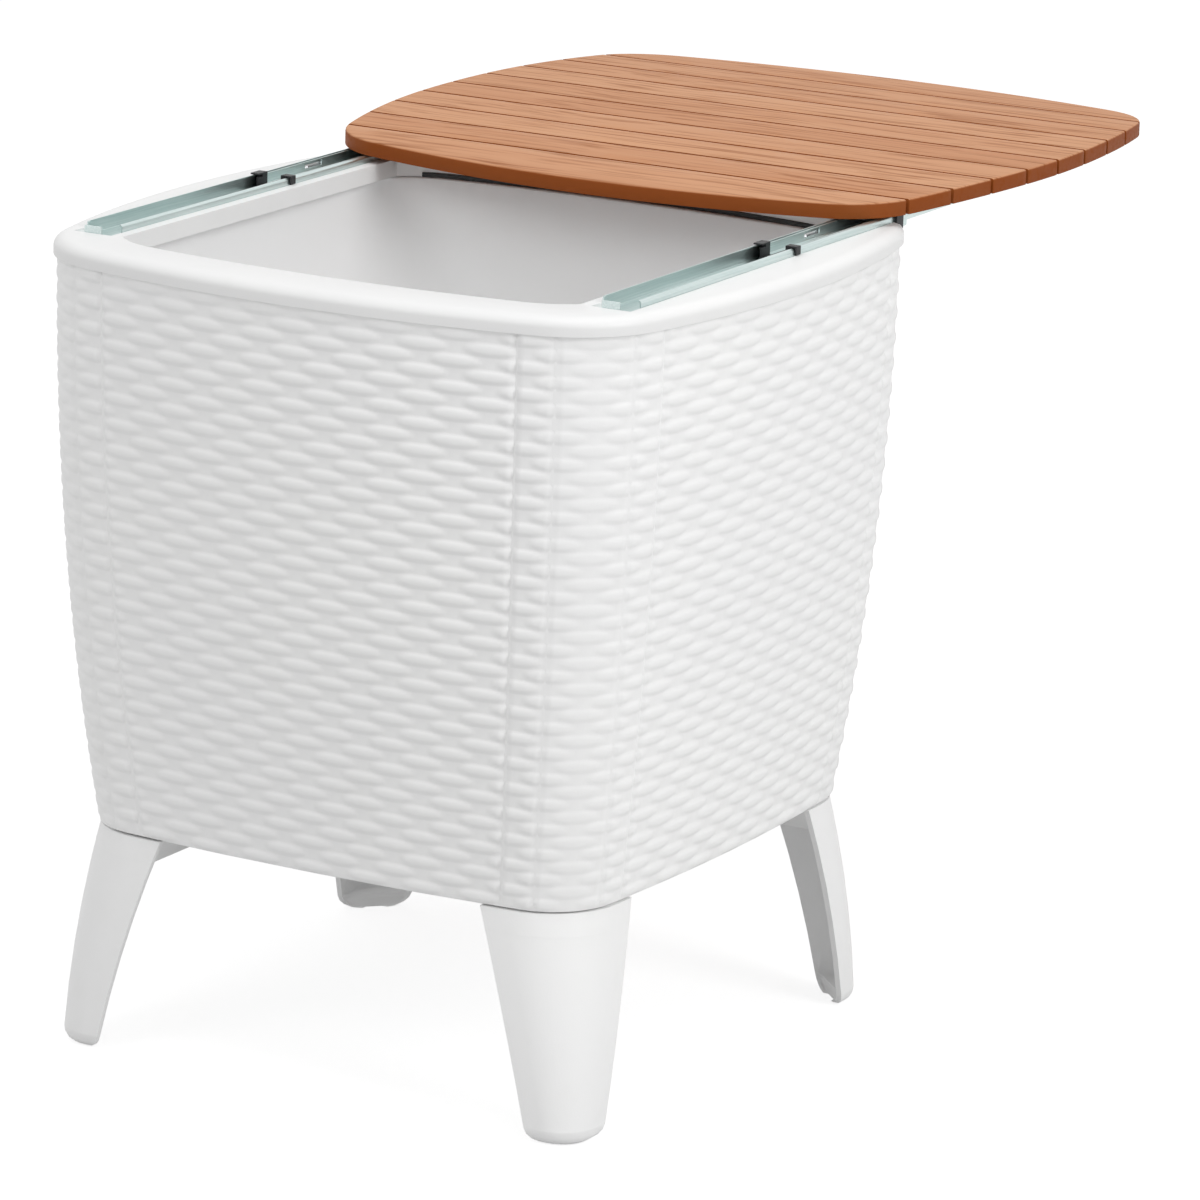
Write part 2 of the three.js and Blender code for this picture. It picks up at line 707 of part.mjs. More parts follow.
// Plastic stop on the middle channel's front: a nose with one long side, two wings in the raceways,
// an ear over each lip and a tail down the fixed channel's outer face
function middleBumper() {
  const play = 2 * seatGap;
  const outer = outerHalf - slideSteel - play;
  const wingInner = middleHalf + seatGap;
  const tunnel = innerHalf + seatGap;
  const foot = slideSteel + play;
  const underLip = slideHeight - slideSteel - seatGap;
  const lipEdge = outerHalf - slideLip - seatGap;
  const overLip = slideHeight + seatGap;
  const earTop = slideHeight + bumperEarRise;
  const front = middleFront - bumperNose;
  const noseBack = middleFront - seatGap;
  const nose = [
    new THREE.Vector2(-outer, front),
    new THREE.Vector2(tunnel, front - bumperProng),
    new THREE.Vector2(outer, front - bumperProng),
    new THREE.Vector2(outer, noseBack),
    new THREE.Vector2(-outer, noseBack),
  ];
  let bumper = prism(nose, foot, underLip);
  bumper = bumper.add(twinBoxes(wingInner, outer, front, front + bumperLength, foot, underLip));
  bumper = bumper.add(twinBoxes(tunnel, lipEdge, front, noseBack, foot, earTop));
  bumper = bumper.add(box([-outerHalf, front - bumperHorn, overLip], [-tunnel, noseBack, earTop]));
  bumper = bumper.add(box([tunnel, front, overLip], [outerHalf + seatGap + bumperTailWall, noseBack, earTop]));
  const tailFoot = rimTop - slideFoot + seatGap;
  bumper = bumper.add(box(
    [outerHalf + seatGap, front, tailFoot],
    [outerHalf + seatGap + bumperTailWall, noseBack, earTop],
  ));
  return bumper.subtract(box(
    [-tunnel, front - bumperProng - overrun, foot + bumperFloor],
    [tunnel, middleFront, slideHeight + overrun],
  ));
}

// Plastic plug in the top channel's front end
function innerBumper() {
  const half = innerHalf - slideSteel - seatGap;
  const front = innerFront;
  return box(
    [-half, front, innerFoot],
    [half, front + innerBumperLength, slideHeight - slideSteel - seatGap],
  );
}

function domeDrop(y) {
  const from = Math.max(Math.abs(y) - plankPitch, 0);
  const share = from / (topHalfDepth - plankPitch);
  return topDome * share * share;
}

function topRing(inset) {
  const stretch = (topHalfDepth - inset) / (topHalfWidth - inset);
  return roundedSquare(topHalfWidth - inset, topBow - inset, topCorner - inset).map(
    (point) => new THREE.Vector2(point.x, topTravel + point.y * stretch),
  );
}

const grooves = Array.from({ length: plankCount - 1 }, (_, i) => (i + 1 - plankCount / 2) * plankPitch);

// The dome's line from front to back, lowered by depth
function domeLine(depth) {
  const reach = topHalfDepth + overrun;
  return [-reach, ...grooves, reach].map((y) => new THREE.Vector2(topTravel + y, topHeight - domeDrop(y) - depth));
}

function grooveSlab(y) {
  return box(
    [-topHalfWidth - overrun, topTravel + y - grooveWidth / 2, topHeight - topThickness - topDome - overrun],
    [topHalfWidth + overrun, topTravel + y + grooveWidth / 2, topHeight + overrun],
  );
}

function tableTop() {
  const plate = [...domeLine(topThickness), ...domeLine(0).reverse()];
  const lowest = topHeight - topThickness - topDome - overrun;
  const highest = topHeight + overrun;
  let top = runAlongX(plate, topHalfWidth + overrun).intersect(prism(topRing(0), lowest, highest));
  // Pockets below the skin, between the edge, the two slide pads and the ribs
  const floorLine = [
    new THREE.Vector2(topTravel - topHalfDepth - overrun, lowest),
    new THREE.Vector2(topTravel + topHalfDepth + overrun, lowest),
  ];
  const underSkin = runAlongX([...floorLine, ...domeLine(topSkin).reverse()], topHalfWidth);
  let pockets = underSkin.intersect(prism(topRing(topEdgeWall), lowest - overrun, highest));
  const frontEdge = topTravel - topHalfDepth;
  const backEdge = topTravel + topHalfDepth;
  for (const side of [-1, 1]) {
    const centre = side * slideCentre;
    pockets = pockets.subtract(box(
      [centre - spacerWidth / 2, frontEdge, lowest - overrun],
      [centre + spacerWidth / 2, backEdge, highest],
    ));
  }
  const inner = slideCentre - spacerWidth / 2;
  for (let i = 0; i < ribColumns; i += 1) {
    const x = inner * (2 * (i + 1) / (ribColumns + 1) - 1);
    pockets = pockets.subtract(box(
      [x - ribThickness / 2, frontEdge, lowest - overrun],
      [x + ribThickness / 2, backEdge, highest],
    ));
  }
  for (let i = 0; i < ribRows; i += 1) {
    const y = topTravel + topHalfDepth * (2 * (i + 1) / (ribRows + 1) - 1);
    pockets = pockets.subtract(box(
      [-topHalfWidth, y - ribThickness / 2, lowest - overrun],
      [topHalfWidth, y + ribThickness / 2, highest],
    ));
  }
  top = top.subtract(pockets);
  // Plank grooves across the top and down the edges
  const core = runAlongX([...floorLine, ...domeLine(grooveDepth).reverse()], topHalfWidth + 2 * overrun)
    .intersect(prism(topRing(grooveDepth), lowest - overrun, highest));
  for (const y of grooves) top = top.subtract(grooveSlab(y).subtract(core));
  // Tracks in the underside, which the middle bumpers' ears pass through
  const trackTop = slideFoot + slideHeight + bumperEarRise + earTrackPlay;
  const trackEnd = outerHalf + seatGap + bumperTailWall + earTrackPlay;
  for (const centre of [-slideCentre, slideCentre]) {
    for (const edge of [-1, 1]) {
      const across = [centre + (edge * spacerFoot) / 2, centre + edge * trackEnd].sort((a, b) => a - b);
      top = top.subtract(box(
        [across[0], frontEdge - overrun, lowest - overrun],
        [across[1], frontEdge + earTrackLength, trackTop],
      ));
    }
  }
  for (const side of [-1, 1]) {
    for (const y of slideScrewPlaces(innerFront, slideLength - innerSetback)) {
      const tip = slideTop - slideSteel + innerScrewLength + seatGap;
      top = top.subtract(cylinder(screwHoleRadius, lowest, tip, side * slideCentre, y));
    }
  }
  return top;
}

function topSpacer() {
  const foot = slideTop + seatGap;
  const step = foot + spacerFootHeight;
  const outline = [
    new THREE.Vector2(-spacerFoot / 2, foot),
    new THREE.Vector2(spacerFoot / 2, foot),
    new THREE.Vector2(spacerFoot / 2, step),
    new THREE.Vector2(spacerWidth / 2, step),
    new THREE.Vector2(spacerWidth / 2, topHeight),
    new THREE.Vector2(-spacerWidth / 2, topHeight),
    new THREE.Vector2(-spacerWidth / 2, step),
    new THREE.Vector2(-spacerFoot / 2, step),
  ];
  let spacer = runAlongY(
    outline, topTravel - topHalfDepth + spacerFrontInset, topTravel + topHalfDepth - spacerBackInset,
  );
  const above = [...domeLine(topThickness + seatGap), ...domeLine(-topThickness).reverse()];
  spacer = spacer.subtract(runAlongX(above, topHalfWidth));
  for (const y of slideScrewPlaces(innerFront, slideLength - innerSetback)) {
    spacer = spacer.subtract(cylinder(screwHoleRadius, foot - overrun, topHeight, 0, y));
  }
  return spacer;
}

// The drain's tube, with a flange below the tub's floor
function drainSpout() {
  const foot = bucketFoot - spoutDrop;
  const flangeTop = tubFloor - tubWall - seatGap;
  return cylinder(spoutRadius, foot, tubFloor, 0, 0)
    .add(cylinder(spoutFlangeRadius, flangeTop - spoutFlange, flangeTop, 0, 0))
    .subtract(cylinder(spoutBore, foot - overrun, tubFloor + overrun, 0, 0));
}

function drainCap() {
  const capTop = bucketFoot - seatGap;
  const spoutFoot = bucketFoot - spoutDrop;
  const gasketFoot = spoutFoot - seatGap - gasketThickness;
  const capFoot = gasketFoot - seatGap - capFloor;
  let cap = cylinder(capRadius, capFoot, capTop, 0, 0);
  for (let i = 0; i < capGrips; i += 1) {
    const angle = (i / capGrips) * 2 * Math.PI;
    const notch = cylinder(
      capGripRadius, capFoot - overrun, capTop + overrun, capRadius * Math.cos(angle), capRadius * Math.sin(angle),
    );
    cap = cap.subtract(notch);
  }
  return cap.subtract(cylinder(spoutRadius + seatGap, gasketFoot - seatGap, capTop + overrun, 0, 0));
}

function drainGasket() {
  const top = bucketFoot - spoutDrop - seatGap;
  return cylinder(spoutRadius, top - gasketThickness, top, 0, 0)
    .subtract(cylinder(spoutBore, top - gasketThickness - overrun, top + overrun, 0, 0));
}

addMesh("outer_shell", outerShell(), whitePlastic);
addMesh("inner_tub", innerTub(), whitePlastic);
addMesh("rim_frame", rimFrame(), whitePlastic);

for (const { name, sideX, sideY } of cornerSigns) {
  addMesh(`leg_${name}`, leg(sideX, sideY), whitePlastic);
  legScrewPlaces(sideX, sideY).forEach(({ x, y }, i) => {
    const screw = addMesh(`leg_screw_${name}_${i + 1}`, panScrew(legScrewLength), brightSteel);
    screw.position.set(x, y, legTop - legPlate - seatGap);
  });
}

for (const { name, side } of [{ name: "left", side: -1 }, { name: "right", side: 1 }]) {
  const pieces = [
    ["outer_channel", outerChannel(), zincSteel],
    ["lower_ball_cage", lowerCage(), brightSteel],
    ["middle_channel", middleChannel(), zincSteel],
    ["middle_bumper", middleBumper(), blackPlastic],
    ["upper_ball_cage", upperCage(), brightSteel],
    ["inner_channel", innerChannel(), zincSteel],
    ["inner_bumper", innerBumper(), blackPlastic],
  ];
  for (const [piece, solid, finish] of pieces) {
    addMesh(`${name}_${piece}`, solid, finish).position.set(side * slideCentre, 0, slideFoot);
  }
  addMesh(`${name}_top_spacer`, topSpacer(), greyPlastic).position.x = side * slideCentre;
  slideScrewPlaces(slideFront, slideLength).forEach((y, i) => {
    const screw = addMesh(`${name}_bed_screw_${i + 1}`, flatScrew(slideScrewLength), brightSteel);
    screw.position.set(side * slideCentre, y, slideFoot + slideSteel);
  });
  slideScrewPlaces(innerFront, slideLength - innerSetback).forEach((y, i) => {
    const screw = addMesh(`${name}_top_screw_${i + 1}`, panScrew(innerScrewLength), brightSteel);
    screw.position.set(side * slideCentre, y, slideTop - slideSteel - seatGap);
  });
}

addMesh("table_top", tableTop(), woodLook);
addMesh("drain_spout", drainSpout(), whitePlastic);
addMesh("drain_cap", drainCap(), whitePlastic);
addMesh("drain_gasket", drainGasket(), blackRubber);

export default group;
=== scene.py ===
"""Ice bucket coffee table: a woven white casing on four legs, and a slatted top that opens on ball slides."""

import logging
import math
from collections.abc import Iterator, Sequence
from contextlib import contextmanager
from dataclasses import dataclass, field
from enum import Enum

import bpy
import numpy as np
from mathutils import Matrix, Vector


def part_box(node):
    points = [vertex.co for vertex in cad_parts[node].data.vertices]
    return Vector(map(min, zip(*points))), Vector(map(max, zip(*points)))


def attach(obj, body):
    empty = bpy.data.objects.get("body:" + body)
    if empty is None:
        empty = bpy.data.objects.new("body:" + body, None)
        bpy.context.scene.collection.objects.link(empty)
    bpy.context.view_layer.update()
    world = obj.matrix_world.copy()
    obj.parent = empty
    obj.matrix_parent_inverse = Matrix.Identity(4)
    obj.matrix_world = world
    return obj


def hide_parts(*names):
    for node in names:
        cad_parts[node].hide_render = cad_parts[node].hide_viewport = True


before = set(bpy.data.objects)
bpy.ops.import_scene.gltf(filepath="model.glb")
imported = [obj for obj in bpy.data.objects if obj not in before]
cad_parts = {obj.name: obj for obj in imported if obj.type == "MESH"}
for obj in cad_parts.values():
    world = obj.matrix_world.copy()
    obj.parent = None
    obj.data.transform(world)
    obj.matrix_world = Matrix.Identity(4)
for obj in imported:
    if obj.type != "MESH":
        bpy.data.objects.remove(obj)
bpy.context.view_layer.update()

LOG = logging.getLogger("coffee_table")
MM = 0.001
TINY = 1e-6
CORNERS = ("front_left", "front_right", "back_left", "back_right")
SIDES = ("left", "right")
Triple = tuple[float, float, float]
Pair = tuple[float, float]
Piece = bpy.types.Object
Node = bpy.types.Node
Socket = bpy.types.NodeSocket
Tree = bpy.types.NodeTree


class Slot(str, Enum):
    """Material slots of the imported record."""

    WHITE = "white_plastic"
    BROWN = "brown_plastic"
    ZINC = "zinc_steel"
    BRIGHT = "bright_steel"
    BLACK = "black_plastic"
    GREY = "grey_plastic"
    RUBBER = "black_rubber"


class Axis(Enum):
    """Direction that a streaked pattern runs in."""

    X = 0
    Y = 1


class Graph:
    """One shader node tree, with short ways to add, set and link its nodes."""

    MIX_INPUTS = (0, 6, 7)
    MIX_OUTPUT = 2

    def __init__(self, tree: Tree) -> None:
        """Keeps the tree of a material or of a node group."""
        self.tree = tree

    def add(self, kind: str, inputs: dict[str, object] | None = None, **properties: object) -> Node:
        """Adds a node.

        Args:
            kind: Blender's type name of the node.
            inputs: What its inputs get, by name.
            **properties: Properties of the node, by name.

        Returns:
            The new node.
        """
        node = self.tree.nodes.new(kind)
        for name, value in properties.items():
            setattr(node, name, value)
        self.fill(node, inputs or {})
        return node

    def feed(self, value: object, target: Socket) -> None:
        """Links an output to an input, or sets the input.

        Args:
            value: Output of another node, number or colour.
            target: The input.
        """
        if isinstance(value, Socket):
            self.tree.links.new(value, target)
        else:
            target.default_value = (*value, 1) if isinstance(value, tuple) else value

    def fill(self, node: Node, inputs: dict[str, object]) -> None:
        """Feeds a node's inputs by name."""
        for name, value in inputs.items():
            self.feed(value, node.inputs[name])

    def math(self, operation: str, *values: object) -> Socket:
        """Adds a Math node whose inputs are sockets or numbers.

        Args:
            operation: Blender's name of the operation.
            *values: Sockets or numbers.

        Returns:
            The node's output.
        """
        node = self.add("ShaderNodeMath", operation=operation)
        for socket, value in zip(node.inputs, values):
            self.feed(value, socket)
        return node.outputs[0]

    def mix(self, share: object, low: object, high: object) -> Socket:
        """Adds a colour mix.

        Args:
            share: Socket or number, 0 gives low and 1 gives high.
            low: Socket or colour.
            high: Socket or colour.

        Returns:
            The mixed colour's output.
        """
        node = self.add("ShaderNodeMix", data_type="RGBA")
        for number, value in zip(self.MIX_INPUTS, (share, low, high)):
            self.feed(value, node.inputs[number])
        return node.outputs[self.MIX_OUTPUT]

    def noise(self, vector: Socket, scale: object, detail: float) -> Socket:
        """Noise pattern of about 0 to 1, with a scale and octaves of finer noise."""
        inputs = {"Vector": vector, "Scale": scale, "Detail": detail}
        return self.add("ShaderNodeTexNoise", inputs).outputs["Fac"]

    def spread(self, value: Socket, ends: Pair) -> Socket:
        """Stretches a value so that the ends of a range become 0 and 1, and keeps it between them."""
        inputs = {"Value": value, "From Min": ends[0], "From Max": ends[1]}
        return self.add("ShaderNodeMapRange", inputs).outputs["Result"]

    def split(self, vector: Socket) -> bpy.types.bpy_prop_collection:
        """Splits a vector into its X, Y and Z."""
        return self.add("ShaderNodeSeparateXYZ", {"Vector": vector}).outputs


@dataclass
class PatternGroups:
    """Shader node groups that several finishes share, each built once."""

    drift_scale: float = 4.0
    drift_ends: Pair = (0.35, 0.65)
    soil_scale: float = 38.0
    soil_ends: Pair = (0.55, 0.8)
    wander_scale: float = 7.0
    broad_scale: float = 0.18
    broad_ends: Pair = (0.3, 0.7)
    plain_detail: float = 1.0
    coarse_detail: float = 2.0
    fine_detail: float = 4.0
    built: dict[str, Tree] = field(default_factory=dict)

    def start(self, name: str, inputs: Sequence[str], outputs: Sequence[str]) -> tuple[Graph, Node, Node]:
        """Makes an empty group with float sockets.

        Args:
            name: Name of the group.
            inputs: Input names.
            outputs: Output names.

        Returns:
            The graph, its input node and its output node.
        """
        tree = bpy.data.node_groups.new(name, "ShaderNodeTree")
        for way, socket_names in (("INPUT", inputs), ("OUTPUT", outputs)):
            for socket_name in socket_names:
                tree.interface.new_socket(socket_name, in_out=way, socket_type="NodeSocketFloat")
        graph = Graph(tree)
        self.built[name] = tree
        return graph, graph.add("NodeGroupInput"), graph.add("NodeGroupOutput")

    def moulded_skin(self) -> Tree:
        """Fine pebbled skin and slow colour drift of moulded plastic.

        Returns:
            Group with Scale in, and Height, Drift and Soil out.
        """
        name = "moulded_skin"
        if name in self.built:
            return self.built[name]
        graph, start, end = self.start(name, ("Scale",), ("Height", "Drift", "Soil"))
        place = graph.add("ShaderNodeTexCoord").outputs["Object"]
        drift = graph.noise(place, self.drift_scale, self.coarse_detail)
        soil = graph.noise(place, self.soil_scale, self.fine_detail)
        graph.fill(end, {
            "Height": graph.noise(place, start.outputs["Scale"], self.coarse_detail),
            "Drift": graph.spread(drift, self.drift_ends),
            "Soil": graph.spread(soil, self.soil_ends),
        })
        return self.built[name]

    def streaks(self, axis: Axis) -> Tree:
        """Long streaks along one axis, as drawn steel and wood grain have.

        Args:
            axis: Direction of the streaks.

        Returns:
            Group with Across, Along and Bend in, and Fine and Broad out.
        """
        name = f"streaks_{axis.name}"
        if name in self.built:
            return self.built[name]
        graph, start, end = self.start(name, ("Across", "Along", "Bend"), ("Fine", "Broad"))
        place = graph.add("ShaderNodeTexCoord").outputs["Object"]
        wander = graph.noise(place, self.wander_scale, self.plain_detail)
        bend = graph.math("MULTIPLY", wander, start.outputs["Bend"])
        joined = graph.add("ShaderNodeCombineXYZ")
        for i, part in enumerate(graph.split(place)):
            rate = start.outputs["Along"] if i == axis.value else start.outputs["Across"]
            moved = part if i == axis.value else graph.math("ADD", part, bend)
            graph.feed(graph.math("MULTIPLY", moved, rate), joined.inputs[i])
        broad = graph.noise(joined.outputs[0], self.broad_scale, self.coarse_detail)
        graph.fill(end, {
            "Fine": graph.noise(joined.outputs[0], 1.0, self.fine_detail),
            "Broad": graph.spread(broad, self.broad_ends),
        })
        return self.built[name]


PATTERNS = PatternGroups()


class Finish:
    """Base of the finishes: a named material on one Principled shader."""

    name: str
    slot: Slot

    def material(self) -> bpy.types.Material:
        """Builds the material once.

        Returns:
            The finished material.
        """
        found = bpy.data.materials.get(self.name)
        if found:
            return found
        made = bpy.data.materials.new(self.name)
        made.use_nodes = True
        self.dress(Graph(made.node_tree), made.node_tree.nodes["Principled BSDF"])
        return made

    def dress(self, graph: Graph, shader: Node) -> None:
        """Feeds the shader; each finish has its own."""
        raise NotImplementedError

    def group(self, graph: Graph, tree: Tree, **values: float) -> Node:
        """Places a shared group in the material, with values for its inputs."""
        return graph.add("ShaderNodeGroup", values, node_tree=tree)

    def bump(self, graph: Graph, shader: Node, height: Socket, depth: float) -> None:
        """Roughens the shader's surface by a relief of 0 to 1 times a depth in metres."""
        node = graph.add("ShaderNodeBump", {"Distance": depth, "Height": height})
        graph.feed(node.outputs["Normal"], shader.inputs["Normal"])


@dataclass(frozen=True)
class MouldedPlastic(Finish):
    """Plain moulded plastic with a fine skin, used in white, black and grey."""

    name: str
    slot: Slot
    colour: Triple
    drifted: Triple
    soiled: Triple
    roughness: float
    skin_scale: float = 900.0
    skin_depth: float = 0.04 * MM
    sheen: float = 0.3
    soil_share: float = 0.35
    rough_drift: float = 0.08

    def dress(self, graph: Graph, shader: Node) -> None:
        """Mixes the drifting colour, soil and skin.

        Args:
            graph: The material's graph.
            shader: The Principled shader.
        """
        skin = self.group(graph, PATTERNS.moulded_skin(), Scale=self.skin_scale)
        body = graph.mix(skin.outputs["Drift"], self.colour, self.drifted)
        share = graph.math("MULTIPLY", skin.outputs["Soil"], self.soil_share)
        smoothest = self.roughness - self.rough_drift / 2
        graph.fill(shader, {
            "Base Color": graph.mix(share, body, self.soiled),
            "Roughness": graph.math("MULTIPLY_ADD", skin.outputs["Drift"], self.rough_drift, smoothest),
            "Specular IOR Level": self.sheen,
        })
        self.bump(graph, shader, skin.outputs["Height"], self.skin_depth)


@dataclass(frozen=True)
class WoodLook(Finish):
    """Brown resin boards with a printed grain, a shade lighter or darker from board to board."""

    middle: float
    pitch: float
    boards: int
    name: str = "wood_look_boards"
    slot: Slot = Slot.BROWN
    board: Triple = (0.51, 0.225, 0.106)
    light: Triple = (0.67, 0.365, 0.205)
    vein: Triple = (0.27, 0.092, 0.03)
    # Colour of the sides and underside, darker than the face's: painted shade, with the face's lighter colour
    # as painted sheen.
    edge: Triple = (0.25, 0.056, 0.006)
    roughness: float = 0.58
    sheen: float = 0.15
    tint_share: float = 0.55
    drift_share: float = 0.45
    vein_share: float = 0.75
    edge_vein_share: float = 0.3
    vein_ends: Pair = (0.5, 0.72)
    painted_sheen_ends: Pair = (0.35, 0.8)
    vein_roughness: float = 0.15
    across: float = 240.0
    along: float = 9.0
    bend: float = 20.0 * MM
    grain_depth: float = 0.15 * MM

    def dress(self, graph: Graph, shader: Node) -> None:
        """Runs the grain along the boards, tints each board, and darkens faces that turn away from up as
        painted shade.

        Args:
            graph: The material's graph.
            shader: The Principled shader.
        """
        place = graph.split(graph.add("ShaderNodeTexCoord").outputs["Object"])
        passed = graph.math("SUBTRACT", place[1], self.middle - self.pitch * self.boards / 2)
        number = graph.math("FLOOR", graph.math("DIVIDE", passed, self.pitch))
        tint = graph.add("ShaderNodeTexWhiteNoise", {"W": number}, noise_dimensions="1D")
        streaks = PATTERNS.streaks(Axis.X)
        grain = self.group(graph, streaks, Across=self.across, Along=self.along, Bend=self.bend)
        veins = graph.spread(grain.outputs["Fine"], self.vein_ends)
        lightness = graph.math("MULTIPLY", tint.outputs["Value"], self.tint_share)
        drift = graph.math("MULTIPLY", grain.outputs["Broad"], self.drift_share)
        flowing = graph.mix(drift, graph.mix(lightness, self.board, self.light), self.light)
        face = graph.mix(graph.math("MULTIPLY", veins, self.vein_share), flowing, self.vein)
        edge_veins = graph.math("MULTIPLY", grain.outputs["Broad"], self.edge_vein_share)
        # Faces that look up get the lighter face colour and the others the darker edge colour: painted sheen
        # on top, painted shade on the sides.
        facing = graph.split(graph.add("ShaderNodeNewGeometry").outputs["True Normal"])
        upward = graph.spread(facing[2], self.painted_sheen_ends)
        graph.fill(shader, {
            "Base Color": graph.mix(upward, graph.mix(edge_veins, self.edge, self.vein), face),
            "Roughness": graph.math("MULTIPLY_ADD", veins, self.vein_roughness, self.roughness),
            "Specular IOR Level": self.sheen,
        })
        self.bump(graph, shader, grain.outputs["Fine"], self.grain_depth)


@dataclass(frozen=True)
class DrawnSteel(Finish):
    """Cold drawn steel with streaks along the channel."""

    name: str
    slot: Slot
    colour: Triple
    streak: Triple
    roughness: float
    across: float = 900.0
    along: float = 14.0
    bend: float = 2.0 * MM
    line_ends: Pair = (0.4, 0.7)
    line_share: float = 0.7
    blotch_scale: float = 500.0
    blotch_roughness: float = 0.15
    line_depth: float = 0.03 * MM

    def dress(self, graph: Graph, shader: Node) -> None:
        """Streaks the colour and the roughness.

        Args:
            graph: The material's graph.
            shader: The Principled shader.
        """
        streaks = PATTERNS.streaks(Axis.Y)
        lines = self.group(graph, streaks, Across=self.across, Along=self.along, Bend=self.bend)
        blotch = self.group(graph, PATTERNS.moulded_skin(), Scale=self.blotch_scale)
        share = graph.math("MULTIPLY", graph.spread(lines.outputs["Fine"], self.line_ends), self.line_share)
        graph.fill(shader, {
            "Metallic": 1.0,
            "Base Color": graph.mix(share, self.colour, self.streak),
            "Roughness": graph.math(
                "MULTIPLY_ADD", blotch.outputs["Soil"], self.blotch_roughness, self.roughness
            ),
        })
        self.bump(graph, shader, lines.outputs["Fine"], self.line_depth)


WHITE = MouldedPlastic(
    "white_moulding", Slot.WHITE, (0.89, 0.89, 0.89), (0.91, 0.91, 0.905), (0.85, 0.85, 0.84), 0.48
)
# The casing's white plastic made darker on the rim, whose top takes the most light: painted shade.
RIM_WHITE_PAINTED_SHADE = MouldedPlastic(
    "white_rim_painted_shade", Slot.WHITE, (0.81, 0.81, 0.81), (0.835, 0.835, 0.83), (0.77, 0.77, 0.76), 0.44
)
# The casing's white plastic made lighter in the tub, whose inside lies in shade: painted light.
TUB_WHITE_PAINTED_LIGHT = MouldedPlastic(
    "white_liner_painted_light", Slot.WHITE, (0.93, 0.935, 0.935), (0.95, 0.95, 0.95), (0.9, 0.9, 0.895), 0.42,
    skin_scale=500.0, skin_depth=0.02 * MM,
)
BLACK = MouldedPlastic(
    "black_moulding", Slot.BLACK, (0.012, 0.012, 0.014), (0.02, 0.02, 0.022), (0.045, 0.045, 0.045), 0.42
)
# Near black for the spacers under the top: painted shade, standing in for the shade they sit in.
GREY = MouldedPlastic(
    "grey_moulding_painted_shade", Slot.GREY, (0.035, 0.036, 0.038), (0.05, 0.05, 0.052), (0.08, 0.08, 0.08), 0.55
)
RUBBER = MouldedPlastic(
    "black_rubber", Slot.RUBBER, (0.014, 0.014, 0.014), (0.022, 0.022, 0.022), (0.06, 0.06, 0.058), 0.8,
    skin_scale=300.0, skin_depth=0.1 * MM,
)
ZINC = DrawnSteel("zinc_channel", Slot.ZINC, (0.60, 0.70, 0.69), (0.76, 0.83, 0.82), 0.34)
BRIGHT = DrawnSteel("bright_steel", Slot.BRIGHT, (0.72, 0.73, 0.74), (0.82, 0.82, 0.83), 0.2)


